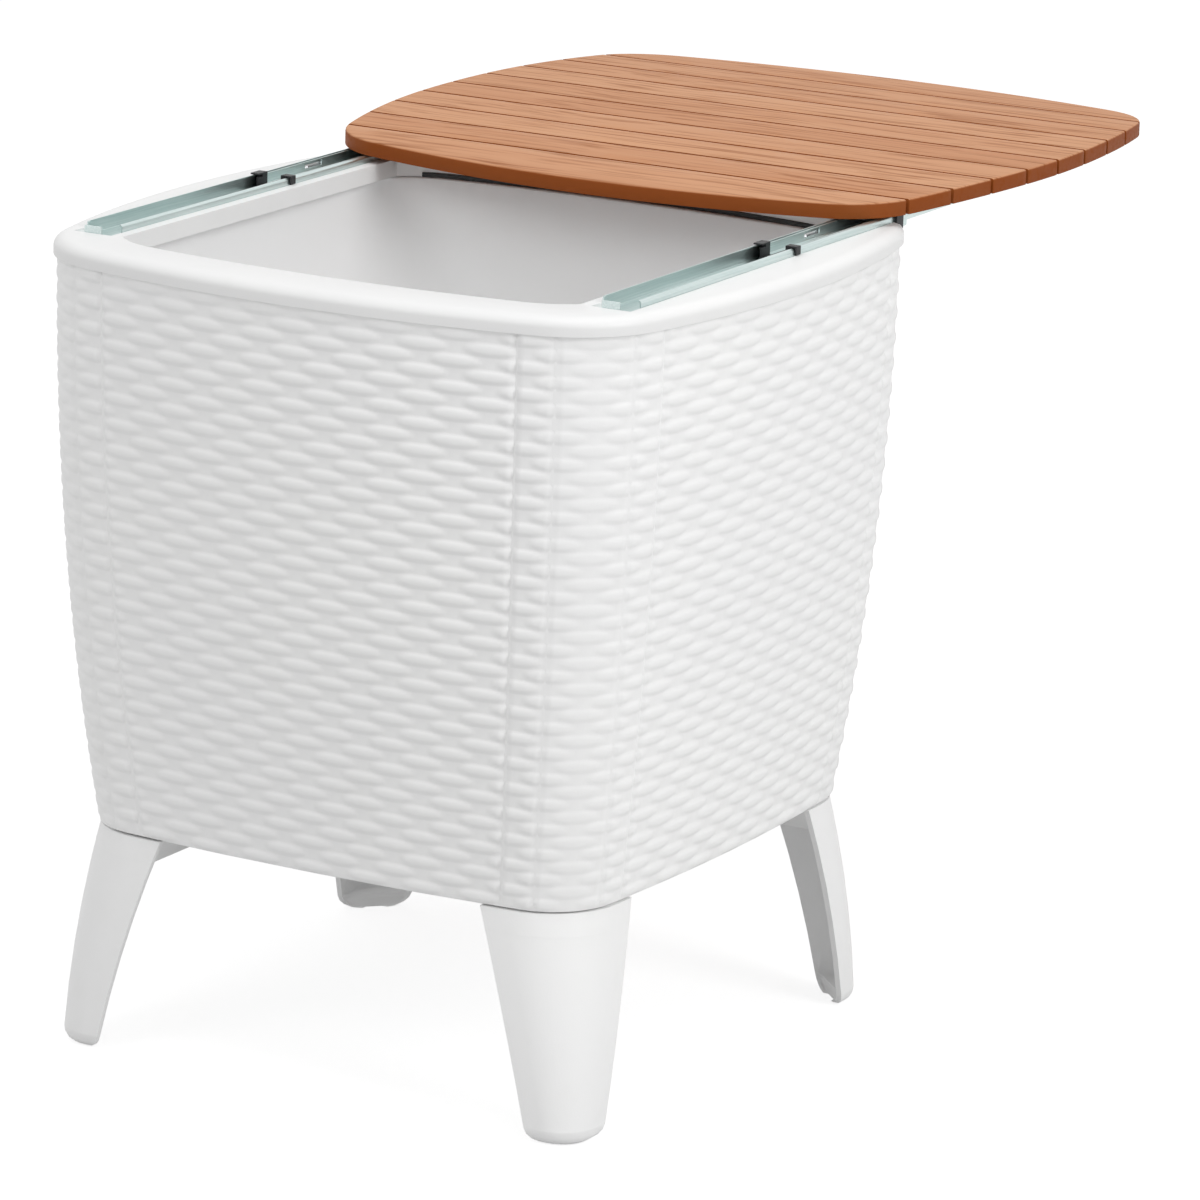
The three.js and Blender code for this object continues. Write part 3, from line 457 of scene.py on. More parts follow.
class Bench:
    """The hand operations that every piece is made with."""

    NODE_WELD = 0.002 * MM
    SHEET_WELD = 0.005 * MM
    FLAT_DEGREES = 0.1
    BEVEL_STEPS = 2
    BEVEL_DEGREES = 40.0

    @staticmethod
    def clear() -> None:
        """Leaves object mode with nothing selected."""
        if bpy.context.object and bpy.context.object.mode != "OBJECT":
            bpy.ops.object.mode_set(mode="OBJECT")
        bpy.ops.object.select_all(action="DESELECT")

    @staticmethod
    def take(*pieces: Piece) -> None:
        """Selects pieces alone and makes the first one active.

        Args:
            *pieces: The pieces to work on.
        """
        Bench.clear()
        for piece in pieces:
            piece.select_set(True)
        bpy.context.view_layer.objects.active = pieces[0]

    @staticmethod
    @contextmanager
    def whole_mesh(piece: Piece) -> Iterator[None]:
        """Opens a piece's mesh for editing with all of it selected, and closes it again.

        Args:
            piece: The piece to edit.
        """
        Bench.take(piece)
        bpy.ops.object.mode_set(mode="EDIT")
        bpy.ops.mesh.select_all(action="SELECT")
        yield
        bpy.ops.object.mode_set(mode="OBJECT")

    @staticmethod
    def join(pieces: Sequence[Piece]) -> Piece:
        """Joins pieces into the first of them.

        Args:
            pieces: The pieces.

        Returns:
            The first piece, which now holds them all.
        """
        Bench.take(*pieces)
        bpy.ops.object.join()
        return pieces[0]

    @staticmethod
    def points_of(piece: Piece) -> np.ndarray:
        """Reads the places of a mesh's points.

        Args:
            piece: The piece.

        Returns:
            Places, one in a row.
        """
        flat = np.zeros(len(piece.data.vertices) * 3, np.float32)
        piece.data.vertices.foreach_get("co", flat)
        return flat.reshape(-1, 3)

    @staticmethod
    def move_points(piece: Piece, places: np.ndarray) -> None:
        """Moves a mesh's points to new places."""
        piece.data.vertices.foreach_set("co", places.astype(np.float32).ravel())
        piece.data.update()

    @staticmethod
    def apply(piece: Piece, kind: str, **values: object) -> None:
        """Adds a modifier and applies it.

        Args:
            piece: The piece to change.
            kind: Blender's type name of the modifier.
            **values: The modifier's properties by name.
        """
        Bench.take(piece)
        modifier = piece.modifiers.new(kind.lower(), kind)
        for name, value in values.items():
            setattr(modifier, name, value)
        bpy.ops.object.modifier_apply(modifier=modifier.name)

    @staticmethod
    def smooth(piece: Piece, degrees: float) -> None:
        """Shades a piece smooth, apart from edges sharper than an angle."""
        Bench.take(piece)
        bpy.ops.object.shade_smooth_by_angle(angle=math.radians(degrees))

    @staticmethod
    def even(piece: Piece, degrees: float) -> None:
        """Shades a piece smooth, and lets its large faces stay even up to their edges."""
        Bench.smooth(piece, degrees)
        Bench.apply(piece, "WEIGHTED_NORMAL", mode="FACE_AREA", keep_sharp=True)

    @staticmethod
    def bevel(piece: Piece, width: float, degrees: float = BEVEL_DEGREES) -> None:
        """Rounds the edges that are sharper than an angle, by a width in metres."""
        sharp = {"limit_method": "ANGLE", "angle_limit": math.radians(degrees)}
        Bench.apply(piece, "BEVEL", width=width, segments=Bench.BEVEL_STEPS, **sharp)

    @staticmethod
    def sheet(name: str, rows: Sequence[np.ndarray]) -> Piece:
        """Adds a grid and lays its points in rows.

        Args:
            name: Name of the piece.
            rows: Places of the points, row by row, as many in each.

        Returns:
            The sheet.
        """
        Bench.clear()
        places = np.array(rows)
        columns, levels = len(rows[0]) - 1, len(rows) - 1
        steps = {"x_subdivisions": columns, "y_subdivisions": levels}
        bpy.ops.mesh.primitive_grid_add(**steps, size=2, location=(0, 0, 0))
        piece = bpy.context.object
        piece.name = name
        shares = (Bench.points_of(piece)[:, :2] + 1) / 2
        column, level = np.rint(shares * (columns, levels)).astype(int).T
        Bench.move_points(piece, places[level, column])
        return piece

    @staticmethod
    def close(piece: Piece) -> None:
        """Merges a sheet's meeting edges and turns its faces outwards."""
        with Bench.whole_mesh(piece):
            bpy.ops.mesh.remove_doubles(threshold=Bench.SHEET_WELD)
            bpy.ops.mesh.normals_make_consistent(inside=False)

    @staticmethod
    def block(name: str, low: Sequence[float], high: Sequence[float]) -> Piece:
        """Adds a box between two corners.

        Args:
            name: Name of the box.
            low: Its lowest corner.
            high: Its highest corner.

        Returns:
            The box, with its place in its mesh.
        """
        Bench.clear()
        middle = [(a + b) / 2 for a, b in zip(low, high)]
        size = [b - a for a, b in zip(low, high)]
        bpy.ops.mesh.primitive_cube_add(size=1, location=middle, scale=size)
        piece = bpy.context.object
        piece.name = name
        Bench.take(piece)
        bpy.ops.object.transform_apply(location=True, rotation=True, scale=True)
        return piece

    @staticmethod
    def cut(piece: Piece, cutter: Piece) -> None:
        """Takes a closed cutter's shape out of a piece and removes the cutter."""
        Bench.apply(piece, "BOOLEAN", operation="DIFFERENCE", object=cutter, solver="EXACT")
        bpy.data.objects.remove(cutter, do_unlink=True)

    @staticmethod
    def place(piece: Piece, body: str, finish: Finish, *nodes: str) -> None:
        """Dresses a finished piece and lets it ride on its body.

        Args:
            piece: The finished piece.
            body: CAD body that carries it.
            finish: Its finish.
            *nodes: CAD nodes that it stands for.
        """
        piece.data.materials.clear()
        piece.data.materials.append(finish.material())
        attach(piece, body)
        if nodes:
            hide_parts(*nodes)
        LOG.info("piece %s rides on %s", piece.name, body)

    @staticmethod
    def copy_of_node(node: str, name: str) -> Piece:
        """Copies a CAD node and merges the copy's loose triangles.

        Args:
            node: Name of the CAD node.
            name: Name of the new piece.

        Returns:
            The merged copy, in place.
        """
        piece = bpy.data.objects.new(name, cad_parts[node].data.copy())
        bpy.context.scene.collection.objects.link(piece)
        piece.data.materials.clear()
        with Bench.whole_mesh(piece):
            bpy.ops.mesh.remove_doubles(threshold=Bench.NODE_WELD)
            bpy.ops.mesh.dissolve_limited(angle_limit=math.radians(Bench.FLAT_DEGREES))
        return piece

    @staticmethod
    def dress_copy(
        node: str, name: str, body: str, finish: Finish, degrees: float, rounding: float = 0.0
    ) -> None:
        """Puts a dressed copy with rounded edges in a CAD node's place.

        Args:
            node: Name of the CAD node.
            name: Name of the copy.
            body: CAD body that carries it.
            finish: Its finish.
            degrees: Sharpest angle that still looks smooth.
            rounding: Width of the rounded edges, zero for sharp ones.
        """
        piece = Bench.copy_of_node(node, name)
        if rounding:
            Bench.bevel(piece, rounding)
        Bench.even(piece, degrees)
        Bench.place(piece, body, finish, node)

    @staticmethod
    def dress_node(node: str, finish: Finish) -> None:
        """Gives a CAD node that stays in view its finish.

        Args:
            node: Name of the CAD node.
            finish: Its finish.
        """
        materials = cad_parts[node].data.materials
        materials.clear()
        materials.append(finish.material())
        LOG.info("node %s keeps its shape", node)


def all_round(steps_a_side: int) -> np.ndarray:
    """Places all the way round an outline and back to the first one, in sides passed."""
    return np.arange(4 * steps_a_side + 1) % (4 * steps_a_side) / steps_a_side


def quarter_round(steps: int) -> list[Pair]:
    """Steps along a quarter round of radius 1, as distances from the two edges that it joins."""
    angles = [step / steps * math.pi / 2 for step in range(steps + 1)]
    return [(1 - math.cos(angle), 1 - math.sin(angle)) for angle in angles]


def quarter_turn(points: np.ndarray) -> np.ndarray:
    """Turns flat points a quarter of a circle, anticlockwise."""
    return np.stack([-points[:, 1], points[:, 0]], -1)


def lifted(points: np.ndarray, middle: Vector, height: float | np.ndarray) -> np.ndarray:
    """Moves flat points round a middle and gives them their height."""
    return np.column_stack([points + np.array(middle.xy), np.broadcast_to(height, len(points))])


@dataclass
class BowedSquare:
    """A square with bowed sides and round corners, as the casing has at one height."""

    half: float
    bow: float
    corner: float

    def grown(self, by: float) -> "BowedSquare":
        """The square grown outwards by a distance all round."""
        return BowedSquare(self.half + by, self.bow + by, self.corner + by)

    def points(self, share: np.ndarray) -> tuple[np.ndarray, np.ndarray]:
        """Places along one side, from the corner before it to the corner after it.

        Args:
            share: Shares of the way round, from -1 at one corner's middle to 1 at the next one's.

        Returns:
            Points and outward normals of the side that faces +X.
        """
        inset = self.bow - self.half
        reach = self.bow - self.corner
        centre = (math.sqrt(2 * reach**2 - inset**2) - inset) / 2
        side_end = math.atan2(centre, centre + inset)
        side_length = self.bow * side_end
        whole = side_length + self.corner * (math.pi / 4 - side_end)
        run = np.abs(share) * whole
        sign = np.sign(share)
        on_side = run <= side_length
        angle = np.where(on_side, run / self.bow, side_end + (run - side_length) / self.corner)
        radius = np.where(on_side, self.bow, self.corner)
        x = np.where(on_side, -inset, centre) + radius * np.cos(angle)
        y = sign * (np.where(on_side, 0.0, centre) + radius * np.sin(angle))
        normals = np.stack([np.cos(angle), sign * np.sin(angle)], -1)
        return np.stack([x, y], -1), normals

    def around(self, place: np.ndarray) -> np.ndarray:
        """Places all the way round, anticlockwise from the corner before the side that faces +X.

        Args:
            place: Sides passed so far, from 0 to 4.

        Returns:
            Points on the outline.
        """
        side = np.floor(place)
        x, y = self.points(2 * (place - side) - 1)[0].T
        cos, sin = np.cos(side * math.pi / 2), np.sin(side * math.pi / 2)
        return np.stack([cos * x - sin * y, sin * x + cos * y], -1)


@dataclass
class FramePart:
    """Base of the sub-assemblies that follow the box of one CAD node."""

    node: str

    def __post_init__(self) -> None:
        """Takes the node's box from the frame."""
        self.low, self.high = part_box(self.node)
        self.middle = (self.low + self.high) / 2
        self.half_x = (self.high.x - self.low.x) / 2
        self.half_y = (self.high.y - self.low.y) / 2


@dataclass
class WovenCasing(FramePart):
    """The basket weave on the casing: four wall panels and four corner panels over the plain shell."""

    node: str = "outer_shell"
    half_bottom: float = 202.2 * MM
    half_middle: float = 229.5 * MM
    half_top: float = 243.2 * MM
    bow_bottom: float = 1800.0 * MM
    bow_top: float = 780.0 * MM
    corner_bottom: float = 48.0 * MM
    corner_top: float = 74.0 * MM
    stakes_a_side: int = 18
    rows: int = 44
    seam_stake: float = 6.75
    steps_a_stake: int = 8
    steps_a_row: int = 8
    strand_rise: float = 1.95 * MM
    strand_reach: float = 0.73
    strand_belly: float = 0.55
    ridge_place: float = -0.08
    lens_power: float = 0.42
    rise_power: float = 0.42
    cross_power: float = 2.6
    corner_rise: float = 0.3
    border_rise: float = 2.4 * MM
    border_rows: float = 0.35
    stake_rise: float = 0.35 * MM
    stake_width: float = 0.17
    seams: tuple[Pair, ...] = ((seam_stake, 1.0 * MM), (7.9, 0.4 * MM))
    seam_width: float = 0.07
    base_rise: float = 0.15 * MM
    thickness: float = 1.2 * MM
    lower_edge: float = 1.5 * MM
    upper_edge: float = -2.7 * MM
    corner_fade: float = 2.0
    stake_power: int = 4
    foot_steps: int = 2
    weave_angle: float = 55.0
    shell_angle: float = 35.0

    @property
    def side_half(self) -> float:
        """Stakes from a side's middle to its end."""
        return self.stakes_a_side / 2

    def section(self, share: float) -> BowedSquare:
        """The shell's outline at a share of its height.

        Args:
            share: Share of the shell's height, 0 at its foot.

        Returns:
            The outline.
        """
        half = (
            self.half_bottom * (1 - share) * (1 - 2 * share)
            + self.half_middle * 4 * share * (1 - share)
            + self.half_top * share * (2 * share - 1)
        )
        bow = 1 / ((1 - share) / self.bow_bottom + share / self.bow_top)
        corner = self.corner_bottom + (self.corner_top - self.corner_bottom) * share
        return BowedSquare(half, bow, corner)

    def strand(self, along: np.ndarray, across: np.ndarray) -> np.ndarray:
        """Height of one strand where it passes over a stake: a rounded lens with blunt ends.

        Args:
            along: Distance from the stake, in stakes.
            across: Distance above the strand's middle, in rows.

        Returns:
            Heights in metres, zero outside the strand.
        """
        lens = np.clip(1 - (along / self.strand_reach) ** 2, 0, 1)
        across = across / np.maximum(self.strand_belly * lens**self.lens_power, TINY)
        below = (self.ridge_place - across) / (1 + self.ridge_place)
        above = (across - self.ridge_place) / (1 - self.ridge_place)
        fall = np.clip(np.maximum(below, above), 0, 1) ** self.cross_power
        return self.strand_rise * lens**self.rise_power * (1 - fall)

    def relief(self, stake: np.ndarray, row: float) -> np.ndarray:
        """Height of the weave over the shell.

        Args:
            stake: Place along the side in stakes.
            row: Place up the wall in rows.

        Returns:
            Heights in metres.
        """
        height = np.full_like(stake, self.base_rise)
        nearest_stake = np.rint(stake)
        nearest_row = np.floor(row)
        for stake_step in (-1, 0, 1):
            for row_step in (-1, 0, 1):
                i = nearest_stake + stake_step
                j = nearest_row + row_step
                raised = np.maximum(height, self.strand(stake - i, row - j - 0.5))
                height = np.where((i + j) % 2 == 0, raised, height)
        under = (nearest_stake + nearest_row) % 2 == 1
        beside = np.abs(stake - nearest_stake) / self.stake_width
        upright = np.clip(1 - beside**self.stake_power, 0, 1)
        height = np.where(under, np.maximum(height, self.stake_rise * upright), height)
        from_corner = np.clip((self.side_half - np.abs(stake)) / self.corner_fade, 0, 1)
        height = height * (self.corner_rise + (1 - self.corner_rise) * from_corner)
        border = np.clip((row - self.rows) / self.border_rows + 1, 0, 1)
        height = np.maximum(height, self.border_rise * border)
        for place, depth in self.seams:
            open_share = 1 - np.minimum(np.abs(np.abs(stake) - place) / self.seam_width, 1) ** 2
            height = height * (1 - open_share) - depth * open_share
        return height

    def panel(self, name: str, turn: int, first: float, last: float) -> Piece:
        """Models one panel: a fine grid, bent to the shell, raised into strands and given a thickness.

        Args:
            name: Name of the panel.
            turn: Quarter turns from the side that faces +X.
            first: Stake at which the panel starts.
            last: Stake at which it ends; past the side's end it goes round the corner.

        Returns:
            The panel.
        """
        foot = self.low.z + self.lower_edge
        top = self.high.z - self.upper_edge
        stake = first + np.arange(round((last - first) * self.steps_a_stake) + 1) / self.steps_a_stake
        past = stake > self.side_half
        stake = np.where(past, stake - 2 * self.side_half, stake)
        rows = []
        for step in range(self.rows * self.steps_a_row + 1):
            row = step / self.steps_a_row
            z = foot + (top - foot) * row / self.rows
            outline = self.section((z - self.low.z) / (self.high.z - self.low.z))
            points, normals = outline.points(stake / self.side_half)
            height = self.relief(stake, row) * min(1.0, step / self.foot_steps)
            points = points + normals * height[:, None]
            points = np.where(past[:, None], quarter_turn(points), points)
            for _ in range(turn):
                points = quarter_turn(points)
            rows.append(lifted(points, self.middle, z))
        piece = Bench.sheet(name, rows)
        with Bench.whole_mesh(piece):
            bpy.ops.mesh.normals_make_consistent(inside=False)
        if piece.data.polygons[0].normal.dot(piece.data.polygons[0].center - self.middle) < 0:
            piece.data.flip_normals()
        Bench.apply(piece, "SOLIDIFY", thickness=self.thickness, offset=-1.0)
        Bench.smooth(piece, self.weave_angle)
        return piece

    def build(self) -> None:
        """Models and dresses the eight panels and the shell behind them."""
        corner_end = 2 * self.side_half - self.seam_stake
        for turn, side in enumerate(("right", "back", "left", "front")):
            wall = self.panel(f"weave_{side}", turn, -self.seam_stake, self.seam_stake)
            Bench.place(wall, "bucket", WHITE)
            corner = self.panel(f"weave_{side}_corner", turn, self.seam_stake, corner_end)
            Bench.place(corner, "bucket", WHITE)
        Bench.dress_copy(self.node, "casing_shell", "bucket", WHITE, self.shell_angle)


@dataclass
class Rim(FramePart):
    """The smooth rim ring, with its opening and the beds of the two slides."""

    node: str = "rim_frame"
    bow: float = 770.0 * MM
    corner: float = 76.0 * MM
    round_in: float = 9.0 * MM
    round_drop: float = 7.0 * MM
    round_steps: int = 8
    opening_inset: float = 45.0 * MM
    opening_bow: float = 950.0 * MM
    opening_corner: float = 60.0 * MM
    opening_side: float = 175.0 * MM
    flare: float = 1.5 * MM
    flare_depth: float = 2.0 * MM
    support: float = 0.5 * MM
    play: float = 0.3 * MM
    steps_a_side: int = 64
    # Size and run of the black strip that is painted shade along the back of the opening.
    shade_strip_reach: float = 1.0 * MM
    shade_strip_rise: float = 3.2 * MM
    shade_strip_ends: Pair = (1.05, 1.95)
    shade_strip_steps: int = 48
    smooth_angle: float = 35.0

    @property
    def opening(self) -> BowedSquare:
        """Outline of the opening."""
        return BowedSquare(self.half_x - self.opening_inset, self.opening_bow, self.opening_corner)

    def profile(self) -> list[tuple[bool, float, float]]:
        """The ring's cross-section, from its lower outer edge over the top to its lower inner edge.

        Returns:
            For each point whether it follows the opening, its distance in and its height.
        """
        foot, top = self.low.z, self.high.z
        line = [(False, 0.0, foot), (False, 0.0, foot + self.support)]
        for inward, downward in quarter_round(self.round_steps):
            line.append((False, self.round_in * inward, top - self.round_drop * downward))
        line.append((False, self.round_in + self.support, top))
        line.append((True, -self.flare - self.support, top))
        line.append((True, -self.flare, top - self.support / 3))
        line.append((True, 0.0, top - self.flare_depth))
        line.append((True, 0.0, foot))
        line.append((False, 0.0, foot))
        return line

    def build(self) -> None:
        """Models the ring as one closed sheet and cuts the slide beds into it."""
        place = all_round(self.steps_a_side)
        rows = []
        for inside, inset, height in self.profile():
            outline = self.opening if inside else BowedSquare(self.half_x, self.bow, self.corner)
            points = outline.grown(-inset).around(place)
            if inside:
                points[:, 0] = np.clip(points[:, 0], -self.opening_side, self.opening_side)
            rows.append(lifted(points, self.middle, height))
        ring = Bench.sheet("rim_ring", rows)
        Bench.close(ring)
        for side in SIDES:
            bed_low, bed_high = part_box(f"{side}_outer_channel")
            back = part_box(f"{side}_middle_channel")[1].y
            low_corner = (bed_low.x - self.play, bed_low.y - self.play, bed_low.z - self.play)
            high_corner = (bed_high.x + self.play, back, bed_high.z + self.round_in)
            Bench.cut(ring, Bench.block("bed_cutter", low_corner, high_corner))
        Bench.smooth(ring, self.smooth_angle)
        # The rim's darker white is painted shade on the same white plastic.
        Bench.place(ring, "bucket", RIM_WHITE_PAINTED_SHADE, self.node)
        self.shade_strip()

    def shade_strip(self) -> None:
        """Models a black strip along the back of the opening: painted shade, standing in for the dark shade
        line under the top's front edge.
        """
        first, last = self.shade_strip_ends
        place = first + (last - first) * np.arange(self.shade_strip_steps + 1) / self.shade_strip_steps
        near, far = (self.opening.grown(side * self.shade_strip_reach).around(place) for side in (-1, 1))
        low, high = self.low.z - self.play, self.low.z + self.shade_strip_rise
        line = ((near, low), (near, high), (far, high), (far, low), (near, low))
        strip = Bench.sheet("back_shade_strip", [lifted(points, self.middle, height) for points, height in line])
        Bench.close(strip)
        with Bench.whole_mesh(strip):
            bpy.ops.mesh.region_to_loop()
            bpy.ops.mesh.fill_holes(sides=0)
            bpy.ops.mesh.select_all(action="SELECT")
            bpy.ops.mesh.normals_make_consistent(inside=False)
        Bench.bevel(strip, self.support)
        Bench.smooth(strip, self.smooth_angle)
        # The black here is painted shade along the back of the opening.
        Bench.place(strip, "bucket", RUBBER)


@dataclass
class Liner(FramePart):
    """The tub that holds the ice, with its flange, a rounded foot and the drain's hole."""

    node: str = "inner_tub"
    mouth_half: float = 196.0 * MM
    floor_half: float = 178.0 * MM
    bow: float = 1400.0 * MM
    mouth_corner: float = 56.0 * MM
    floor_corner: float = 46.0 * MM
    fillet: float = 12.0 * MM
    fillet_steps: int = 8
    wall_steps: int = 10
    edge_round: float = 1.5 * MM
    edge_steps: int = 3
    drain: float = 16.3 * MM
    drain_ring: float = 48.9 * MM
    thickness: float = 2.6 * MM
    floor_lift: float = 3.0 * MM
    flange_bow: float = 780.0 * MM
    flange_corner: float = 74.0 * MM
    steps_a_side: int = 48
    smooth_angle: float = 35.0

    def outlines(self) -> list[tuple[BowedSquare, float]]:
        """The liner's outlines, from the flange's edge down the wall to the drain.

        Returns:
            Outlines with their heights.
        """
        foot, top = self.low.z + self.floor_lift, self.high.z

        def wall(share: float, grown: float) -> BowedSquare:
            """Outline of the wall's inner face.

            Args:
                share: Share of the wall's height.
                grown: Distance by which the outline is grown.

            Returns:
                The outline.
            """
            half = self.floor_half + (self.mouth_half - self.floor_half) * share
            corner = self.floor_corner + (self.mouth_corner - self.floor_corner) * share
            return BowedSquare(half, self.bow, corner).grown(grown)

        line = [(BowedSquare(self.half_x, self.flange_bow, self.flange_corner), top)]
        line.append((wall(1, 2 * self.edge_round), top))
        for downward, outward in quarter_round(self.edge_steps):
            line.append((wall(1, self.edge_round * outward), top - self.edge_round * downward))
        wall_foot = foot + self.fillet
        wall_height = top - self.edge_round - wall_foot
        for step in range(1, self.wall_steps):
            share = 1 - step / self.wall_steps
            line.append((wall(share, 0), wall_foot + wall_height * share))
        for inward, upward in quarter_round(self.fillet_steps):
            line.append((wall(0, -self.fillet * inward), foot + self.fillet * upward))
        line.append((wall(0, -self.fillet - self.edge_round), foot))
        for radius in (self.drain_ring, self.drain):
            line.append((BowedSquare(radius, radius, radius), foot))
        return line

    def build(self) -> None:
        """Models the liner's inner face and gives it a thickness."""
        place = all_round(self.steps_a_side)
        rows = [lifted(outline.around(place), self.middle, height) for outline, height in self.outlines()]
        liner = Bench.sheet("ice_liner", rows)
        Bench.close(liner)
        rim = max(liner.data.polygons, key=lambda face: face.center.z)
        if rim.normal.z < 0:
            liner.data.flip_normals()
        Bench.apply(liner, "SOLIDIFY", thickness=self.thickness, offset=-1.0)
        Bench.smooth(liner, self.smooth_angle)
        # The liner's lighter white is painted light on the same white plastic.
        Bench.place(liner, "bucket", TUB_WHITE_PAINTED_LIGHT, self.node)


@dataclass
class Legs:
    """The four channel legs and their screws."""

    smooth_angle: float = 50.0

    def build(self) -> None:
        """Dresses each leg and its screws."""
        for corner in CORNERS:
            leg = f"leg_{corner}"
            Bench.dress_copy(leg, f"channel_{leg}", "bucket", WHITE, self.smooth_angle)
            for number in (1, 2):
                Bench.dress_node(f"leg_screw_{corner}_{number}", BRIGHT)


@dataclass
class BallSlides:
    """Both ball slides: channels, cages, balls, stops and screws."""

    smooth_angle: float = 40.0
    edge_round: float = 0.2 * MM
    bumper_round: float = 0.4 * MM
    cage_angle: float = 50.0
    channels: tuple[tuple[str, str], ...] = (
        ("outer_channel", "bucket"),
        ("middle_channel", "{side}_middle"),
        ("inner_channel", "top"),
    )
    end_stop_length: float = 10.0 * MM
    end_stop_setback: float = 9.0 * MM
    end_stop_side: float = 2.2 * MM

    def end_stop(self, side: str) -> None:
        """Models the pair of black stops beside the fixed channel's back end.

        Args:
            side: Side of the table.
        """
        low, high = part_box(f"{side}_outer_channel")
        back = high.y - self.end_stop_setback
        front = back - self.end_stop_length
        reaches = ((low.x - self.end_stop_side, low.x), (high.x, high.x + self.end_stop_side))
        name = f"{side}_end_stop"
        blocks = [Bench.block(name, (near, front, low.z), (far, back, high.z)) for near, far in reaches]
        stop = Bench.join(blocks)
        Bench.bevel(stop, self.bumper_round)
        Bench.even(stop, self.smooth_angle)
        Bench.place(stop, "bucket", BLACK)

    def build(self) -> None:
        """Dresses the slides of both sides."""
        for side in SIDES:
            self.end_stop(side)
            for channel, body in self.channels:
                node, body = f"{side}_{channel}", body.format(side=side)
                Bench.dress_copy(node, f"{node}_steel", body, ZINC, self.smooth_angle, self.edge_round)
            for level in ("lower", "upper"):
                cage = Bench.copy_of_node(f"{side}_{level}_ball_cage", f"{side}_{level}_balls")
                Bench.smooth(cage, self.cage_angle)
                Bench.place(cage, f"{side}_{level}_cage", BRIGHT, f"{side}_{level}_ball_cage")
            node, name, body = (f"{side}_middle{end}" for end in ("_bumper", "_stop", ""))
            Bench.dress_copy(node, name, body, BLACK, self.smooth_angle, self.bumper_round)
            Bench.dress_node(f"{side}_inner_bumper", BLACK)
            # The spacer's near-black grey is painted shade.
            Bench.dress_node(f"{side}_top_spacer", GREY)
            for number in (1, 2):
                Bench.dress_node(f"{side}_bed_screw_{number}", BRIGHT)
                Bench.dress_node(f"{side}_top_screw_{number}", BRIGHT)


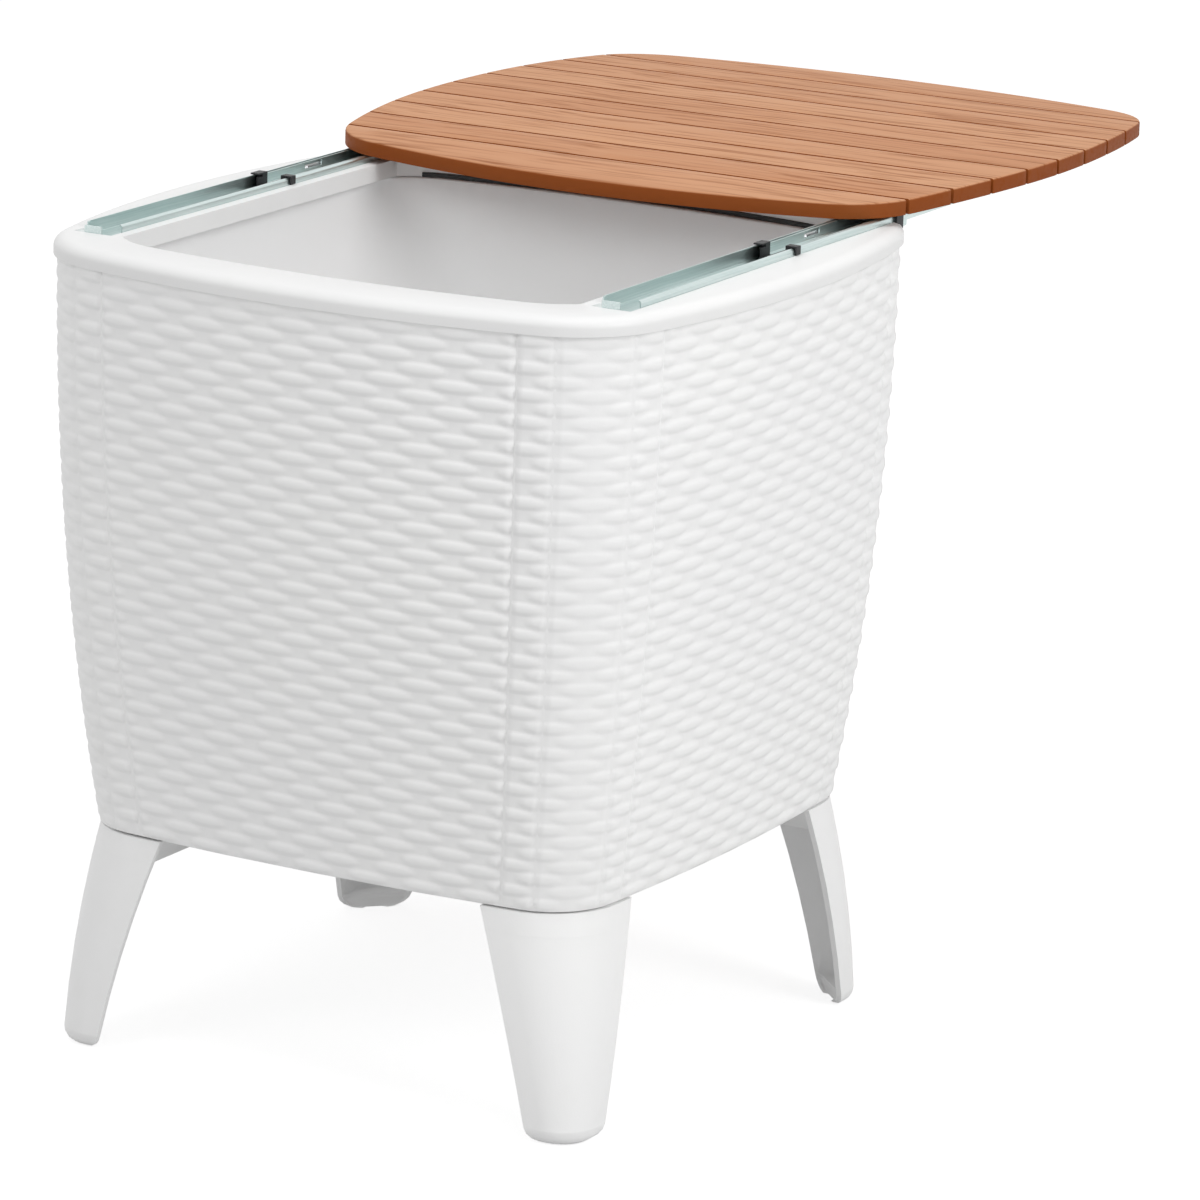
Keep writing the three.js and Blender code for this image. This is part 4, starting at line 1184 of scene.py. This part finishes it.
@dataclass
class SlattedTop(FramePart):
    """The grooved top: a tray with rounded edges and plank grooves, over its ribbed underside."""

    node: str = "table_top"
    bow: float = 740.0 * MM
    corner: float = 62.0 * MM
    dome: float = 5.2 * MM
    planks: int = 10
    pitch: float = 46.1 * MM
    groove_width: float = 3.0 * MM
    groove_depth: float = 2.4 * MM
    groove_round: float = 0.4 * MM
    edge: float = 10.6 * MM
    edge_round: float = 1.6 * MM
    round_steps: int = 5
    wall: float = 4.0 * MM
    skin: float = 4.0 * MM
    skin_overlap: float = 1.2 * MM
    tuck: float = 0.995
    lift: float = 0.05 * MM
    steps_a_side: int = 61
    rings: int = 12
    reach: float = 2.0 * MM
    outline_places: int = 800
    outline_end: float = 0.999
    bevel_angle: float = 60.0
    tray_angle: float = 30.0
    ribs_angle: float = 20.0

    @property
    def outline(self) -> BowedSquare:
        """Outline of the top, before it is fitted to its depth."""
        return BowedSquare(self.half_x, self.bow, self.corner)

    def drop(self, y: float | np.ndarray) -> float | np.ndarray:
        """Depth of the domed face below its middle, at distances from the middle."""
        return self.dome * (np.maximum(np.abs(y) - self.pitch, 0) / (self.half_y - self.pitch)) ** 2

    def outlines(self) -> list[Pair]:
        """The tray's cross-section, from the middle of its face over the edge to the middle of its underside.

        Returns:
            Distances in from the outline, negative as a share of the way to the middle, with depths
            below the dome.
        """
        line = [(-step / self.rings, 0.0) for step in range(self.rings, 0, -1)]
        line.append((self.edge_round + self.lift, 0.0))
        for inward, downward in reversed(quarter_round(self.round_steps)):
            line.append((self.edge_round * inward, self.edge_round * downward))
        line += [(0.0, self.edge), (self.wall, self.edge), (self.wall, self.skin)]
        line += [(-step / self.rings, self.skin) for step in range(2, self.rings + 1)]
        return line

    def tray(self) -> Piece:
        """Models the tray as one closed sheet.

        Returns:
            The tray.
        """
        place = all_round(self.steps_a_side)
        rows = []
        for inset, depth in self.outlines():
            shrink = 1 + min(inset, 0)
            inset = max(inset, 0)
            if shrink < 1:
                inset = self.wall if depth else self.edge_round + self.lift
            points = self.outline.grown(-inset).around(place) * shrink
            points[:, 1] *= (self.half_y - inset) / (self.half_x - inset)
            rows.append(lifted(points, self.middle, self.high.z - depth - self.drop(points[:, 1])))
        tray = Bench.sheet("plank_tray", rows)
        Bench.close(tray)
        return tray

    def groove(self, y: float, edge_x: float) -> Piece:
        """Models the cutter of one groove, which runs across the face and down both edges.

        Args:
            y: The groove's distance from the middle.
            edge_x: Half width of the top there.

        Returns:
            The cutter.
        """
        face = self.high.z - self.drop(y)
        inner, far = edge_x - self.groove_depth, edge_x + self.reach
        low, bed, high = face - self.edge - self.reach, face - self.groove_depth, face + self.reach
        arch = (
            (-far, low), (-far, high), (far, high), (far, low),
            (inner, low), (inner, bed), (-inner, bed), (-inner, low),
        )
        Bench.clear()
        bpy.ops.mesh.primitive_circle_add(vertices=len(arch), fill_type="NGON", location=(0, 0, 0))
        cutter = bpy.context.object
        for vertex, (x, z) in zip(cutter.data.vertices, arch):
            vertex.co = (self.middle.x + x, self.middle.y + y - self.groove_width / 2, z)
        with Bench.whole_mesh(cutter):
            bpy.ops.mesh.extrude_region_move(TRANSFORM_OT_translate={"value": (0, self.groove_width, 0)})
            bpy.ops.mesh.select_all(action="SELECT")
            bpy.ops.mesh.normals_make_consistent(inside=False)
        return cutter

    def underside(self) -> Piece:
        """Copies the solid for its ribs and pads, tucked inside the tray.

        Returns:
            The copy.
        """
        ribs = Bench.copy_of_node(self.node, "plank_ribs")
        places = Bench.points_of(ribs)
        from_middle = places[:, :2] - np.array(self.middle.xy)
        ceiling = self.high.z - self.drop(from_middle[:, 1]) - self.skin + self.skin_overlap
        places[:, :2] = np.array(self.middle.xy) + from_middle * self.tuck
        places[:, 2] = np.minimum(places[:, 2] + self.lift, ceiling)
        Bench.move_points(ribs, places)
        Bench.close(ribs)
        Bench.smooth(ribs, self.ribs_angle)
        return ribs

    def build(self) -> None:
        """Models the tray and its grooves and dresses both pieces."""
        tray = self.tray()
        outline = self.outline.around(np.linspace(0, self.outline_end, self.outline_places))
        cutters = []
        for number in range(1, self.planks):
            y = (number - self.planks / 2) * self.pitch
            edge_x = float(np.interp(y * self.half_x / self.half_y, outline[:, 1], outline[:, 0]))
            cutters.append(self.groove(y, edge_x))
        Bench.cut(tray, Bench.join(cutters))
        Bench.bevel(tray, self.groove_round, self.bevel_angle)
        Bench.smooth(tray, self.tray_angle)
        wood = WoodLook(self.middle.y, self.pitch, self.planks)
        Bench.place(tray, "top", wood, self.node)
        Bench.place(self.underside(), "top", wood, self.node)


@dataclass
class Drain:
    """The spout under the tub, with its gasket and cap."""

    smooth_angle: float = 35.0
    edge_round: float = 0.6 * MM

    def build(self) -> None:
        """Dresses the spout, the cap and the gasket."""
        copies = (("drain_spout", "spout_tube", "bucket"), ("drain_cap", "grip_cap", "drain_cap"))
        for node, name, body in copies:
            Bench.dress_copy(node, name, body, WHITE, self.smooth_angle, self.edge_round)
        Bench.dress_node("drain_gasket", RUBBER)


@dataclass(frozen=True)
class Lamp:
    """One round soft lamp: its place, its width in metres and its power in watts."""

    name: str
    place: Triple
    width: float
    power: float


@dataclass
class Studio:
    """White room, soft lamps and the camera at the photograph's place."""

    camera_place: Triple = (2.26116, -3.88257, 1.45375)
    view_yaw: float = 29.13
    view_pitch: float = -14.39
    view_roll: float = 1.74
    focal_pixels: float = 6804.26
    image_pixels: float = 1200.0
    sensor: float = 36.0
    farthest_view: float = 100.0
    floor_size: float = 60.0
    floor_roughness: float = 0.9
    sky_strength: float = 0.62
    floor_colour: float = 0.35
    floor_bounce: float = 0.6
    floor_glow: float = 0.8
    lamp_aim: Triple = (0.0, 0.0, 0.35)
    lamp_list: tuple[Lamp, ...] = (
        Lamp("top_softbox", (0.2, -0.5, 3.2), 2.0, 20.0),
        Lamp("front_softbox", (-0.8, -2.9, 2.5), 1.4, 15.0),
        Lamp("right_softbox", (3.0, -0.8, 2.0), 1.4, 38.0),
    )

    def build(self) -> None:
        """Sets up camera, floor, sky and lamps."""
        self.camera()
        self.floor()
        self.sky()
        self.lamps()

    def camera(self) -> None:
        """Places the camera round the bucket's middle, turned as the photograph's was."""
        data = bpy.data.cameras.new("photo_camera")
        data.sensor_width = self.sensor
        data.lens = self.focal_pixels / self.image_pixels * self.sensor
        data.clip_end = self.farthest_view
        camera = bpy.data.objects.new("photo_camera", data)
        bpy.context.scene.collection.objects.link(camera)
        yaw, pitch, roll = (math.radians(a) for a in (self.view_yaw, self.view_pitch, self.view_roll))
        ahead = Vector((-math.sin(yaw) * math.cos(pitch), math.cos(yaw) * math.cos(pitch), math.sin(pitch)))
        level = ahead.cross(Vector((0, 0, 1))).normalized()
        upright = level.cross(ahead)
        right = math.cos(roll) * level + math.sin(roll) * upright
        up = -math.sin(roll) * level + math.cos(roll) * upright
        middle = FramePart("outer_shell").middle
        place = Vector(self.camera_place) + Vector((middle.x, middle.y, 0))
        turn = Matrix((right, up, -ahead)).transposed().to_4x4()
        camera.matrix_world = Matrix.Translation(place) @ turn
        bpy.context.scene.camera = camera

    def seen(self, graph: Graph, *kinds: str) -> Socket:
        """Tells which rays are of the given kinds.

        Args:
            graph: The material's or the world's graph.
            *kinds: Outputs of the Light Path node.

        Returns:
            Socket with 1 for these rays and 0 for others.
        """
        path = graph.add("ShaderNodeLightPath")
        seen = path.outputs[kinds[0]]
        for kind in kinds[1:]:
            seen = graph.math("MAXIMUM", seen, path.outputs[kind])
        return seen

    def floor(self) -> None:
        """Lays a wide floor that looks white to the camera and keeps the object's shadow."""
        Bench.clear()
        bpy.ops.mesh.primitive_plane_add(size=self.floor_size, location=(0, 0, 0))
        floor = bpy.context.object
        floor.name = "studio_floor"
        material = bpy.data.materials.new("studio_floor")
        material.use_nodes = True
        graph = Graph(material.node_tree)
        seen = self.seen(graph, "Is Camera Ray", "Is Glossy Ray")
        levels = (self.floor_bounce, self.floor_colour, self.floor_glow)
        bounce, colour, glow = ((level, level, level) for level in levels)
        graph.fill(material.node_tree.nodes["Principled BSDF"], {
            "Roughness": self.floor_roughness,
            "Specular IOR Level": 0.0,
            "Base Color": graph.mix(seen, bounce, colour),
            "Emission Color": graph.mix(seen, (0, 0, 0), glow),
            "Emission Strength": 1.0,
        })
        floor.data.materials.append(material)

    def sky(self) -> None:
        """Lights the room evenly and shows it white."""
        world = bpy.data.worlds.new("studio_sky")
        bpy.context.scene.world = world
        world.use_nodes = True
        graph = Graph(world.node_tree)
        seen = self.seen(graph, "Is Camera Ray", "Is Glossy Ray", "Is Transmission Ray")
        graph.fill(world.node_tree.nodes["Background"], {
            "Strength": graph.math("MULTIPLY_ADD", seen, 1.0 - self.sky_strength, self.sky_strength),
            "Color": (1, 1, 1),
        })

    def lamps(self) -> None:
        """Hangs the soft lamps."""
        for lamp in self.lamp_list:
            data = bpy.data.lights.new(lamp.name, "AREA")
            data.shape = "DISK"
            data.size = lamp.width
            data.energy = lamp.power
            light = bpy.data.objects.new(lamp.name, data)
            bpy.context.scene.collection.objects.link(light)
            light.location = lamp.place
            aim = Vector(self.lamp_aim) - Vector(lamp.place)
            light.rotation_euler = aim.to_track_quat("-Z", "Y").to_euler()


def main() -> None:
    """Builds the table from its sub-assemblies, then the studio."""
    logging.basicConfig(level=logging.INFO, format="%(name)s: %(message)s")
    bpy.context.scene.view_settings.view_transform = "Standard"
    for part in (WovenCasing(), Rim(), Liner(), Legs(), BallSlides(), SlattedTop(), Drain(), Studio()):
        LOG.info("building %s", type(part).__name__)
        part.build()
    Bench.clear()


if __name__ == "__main__":
    main()
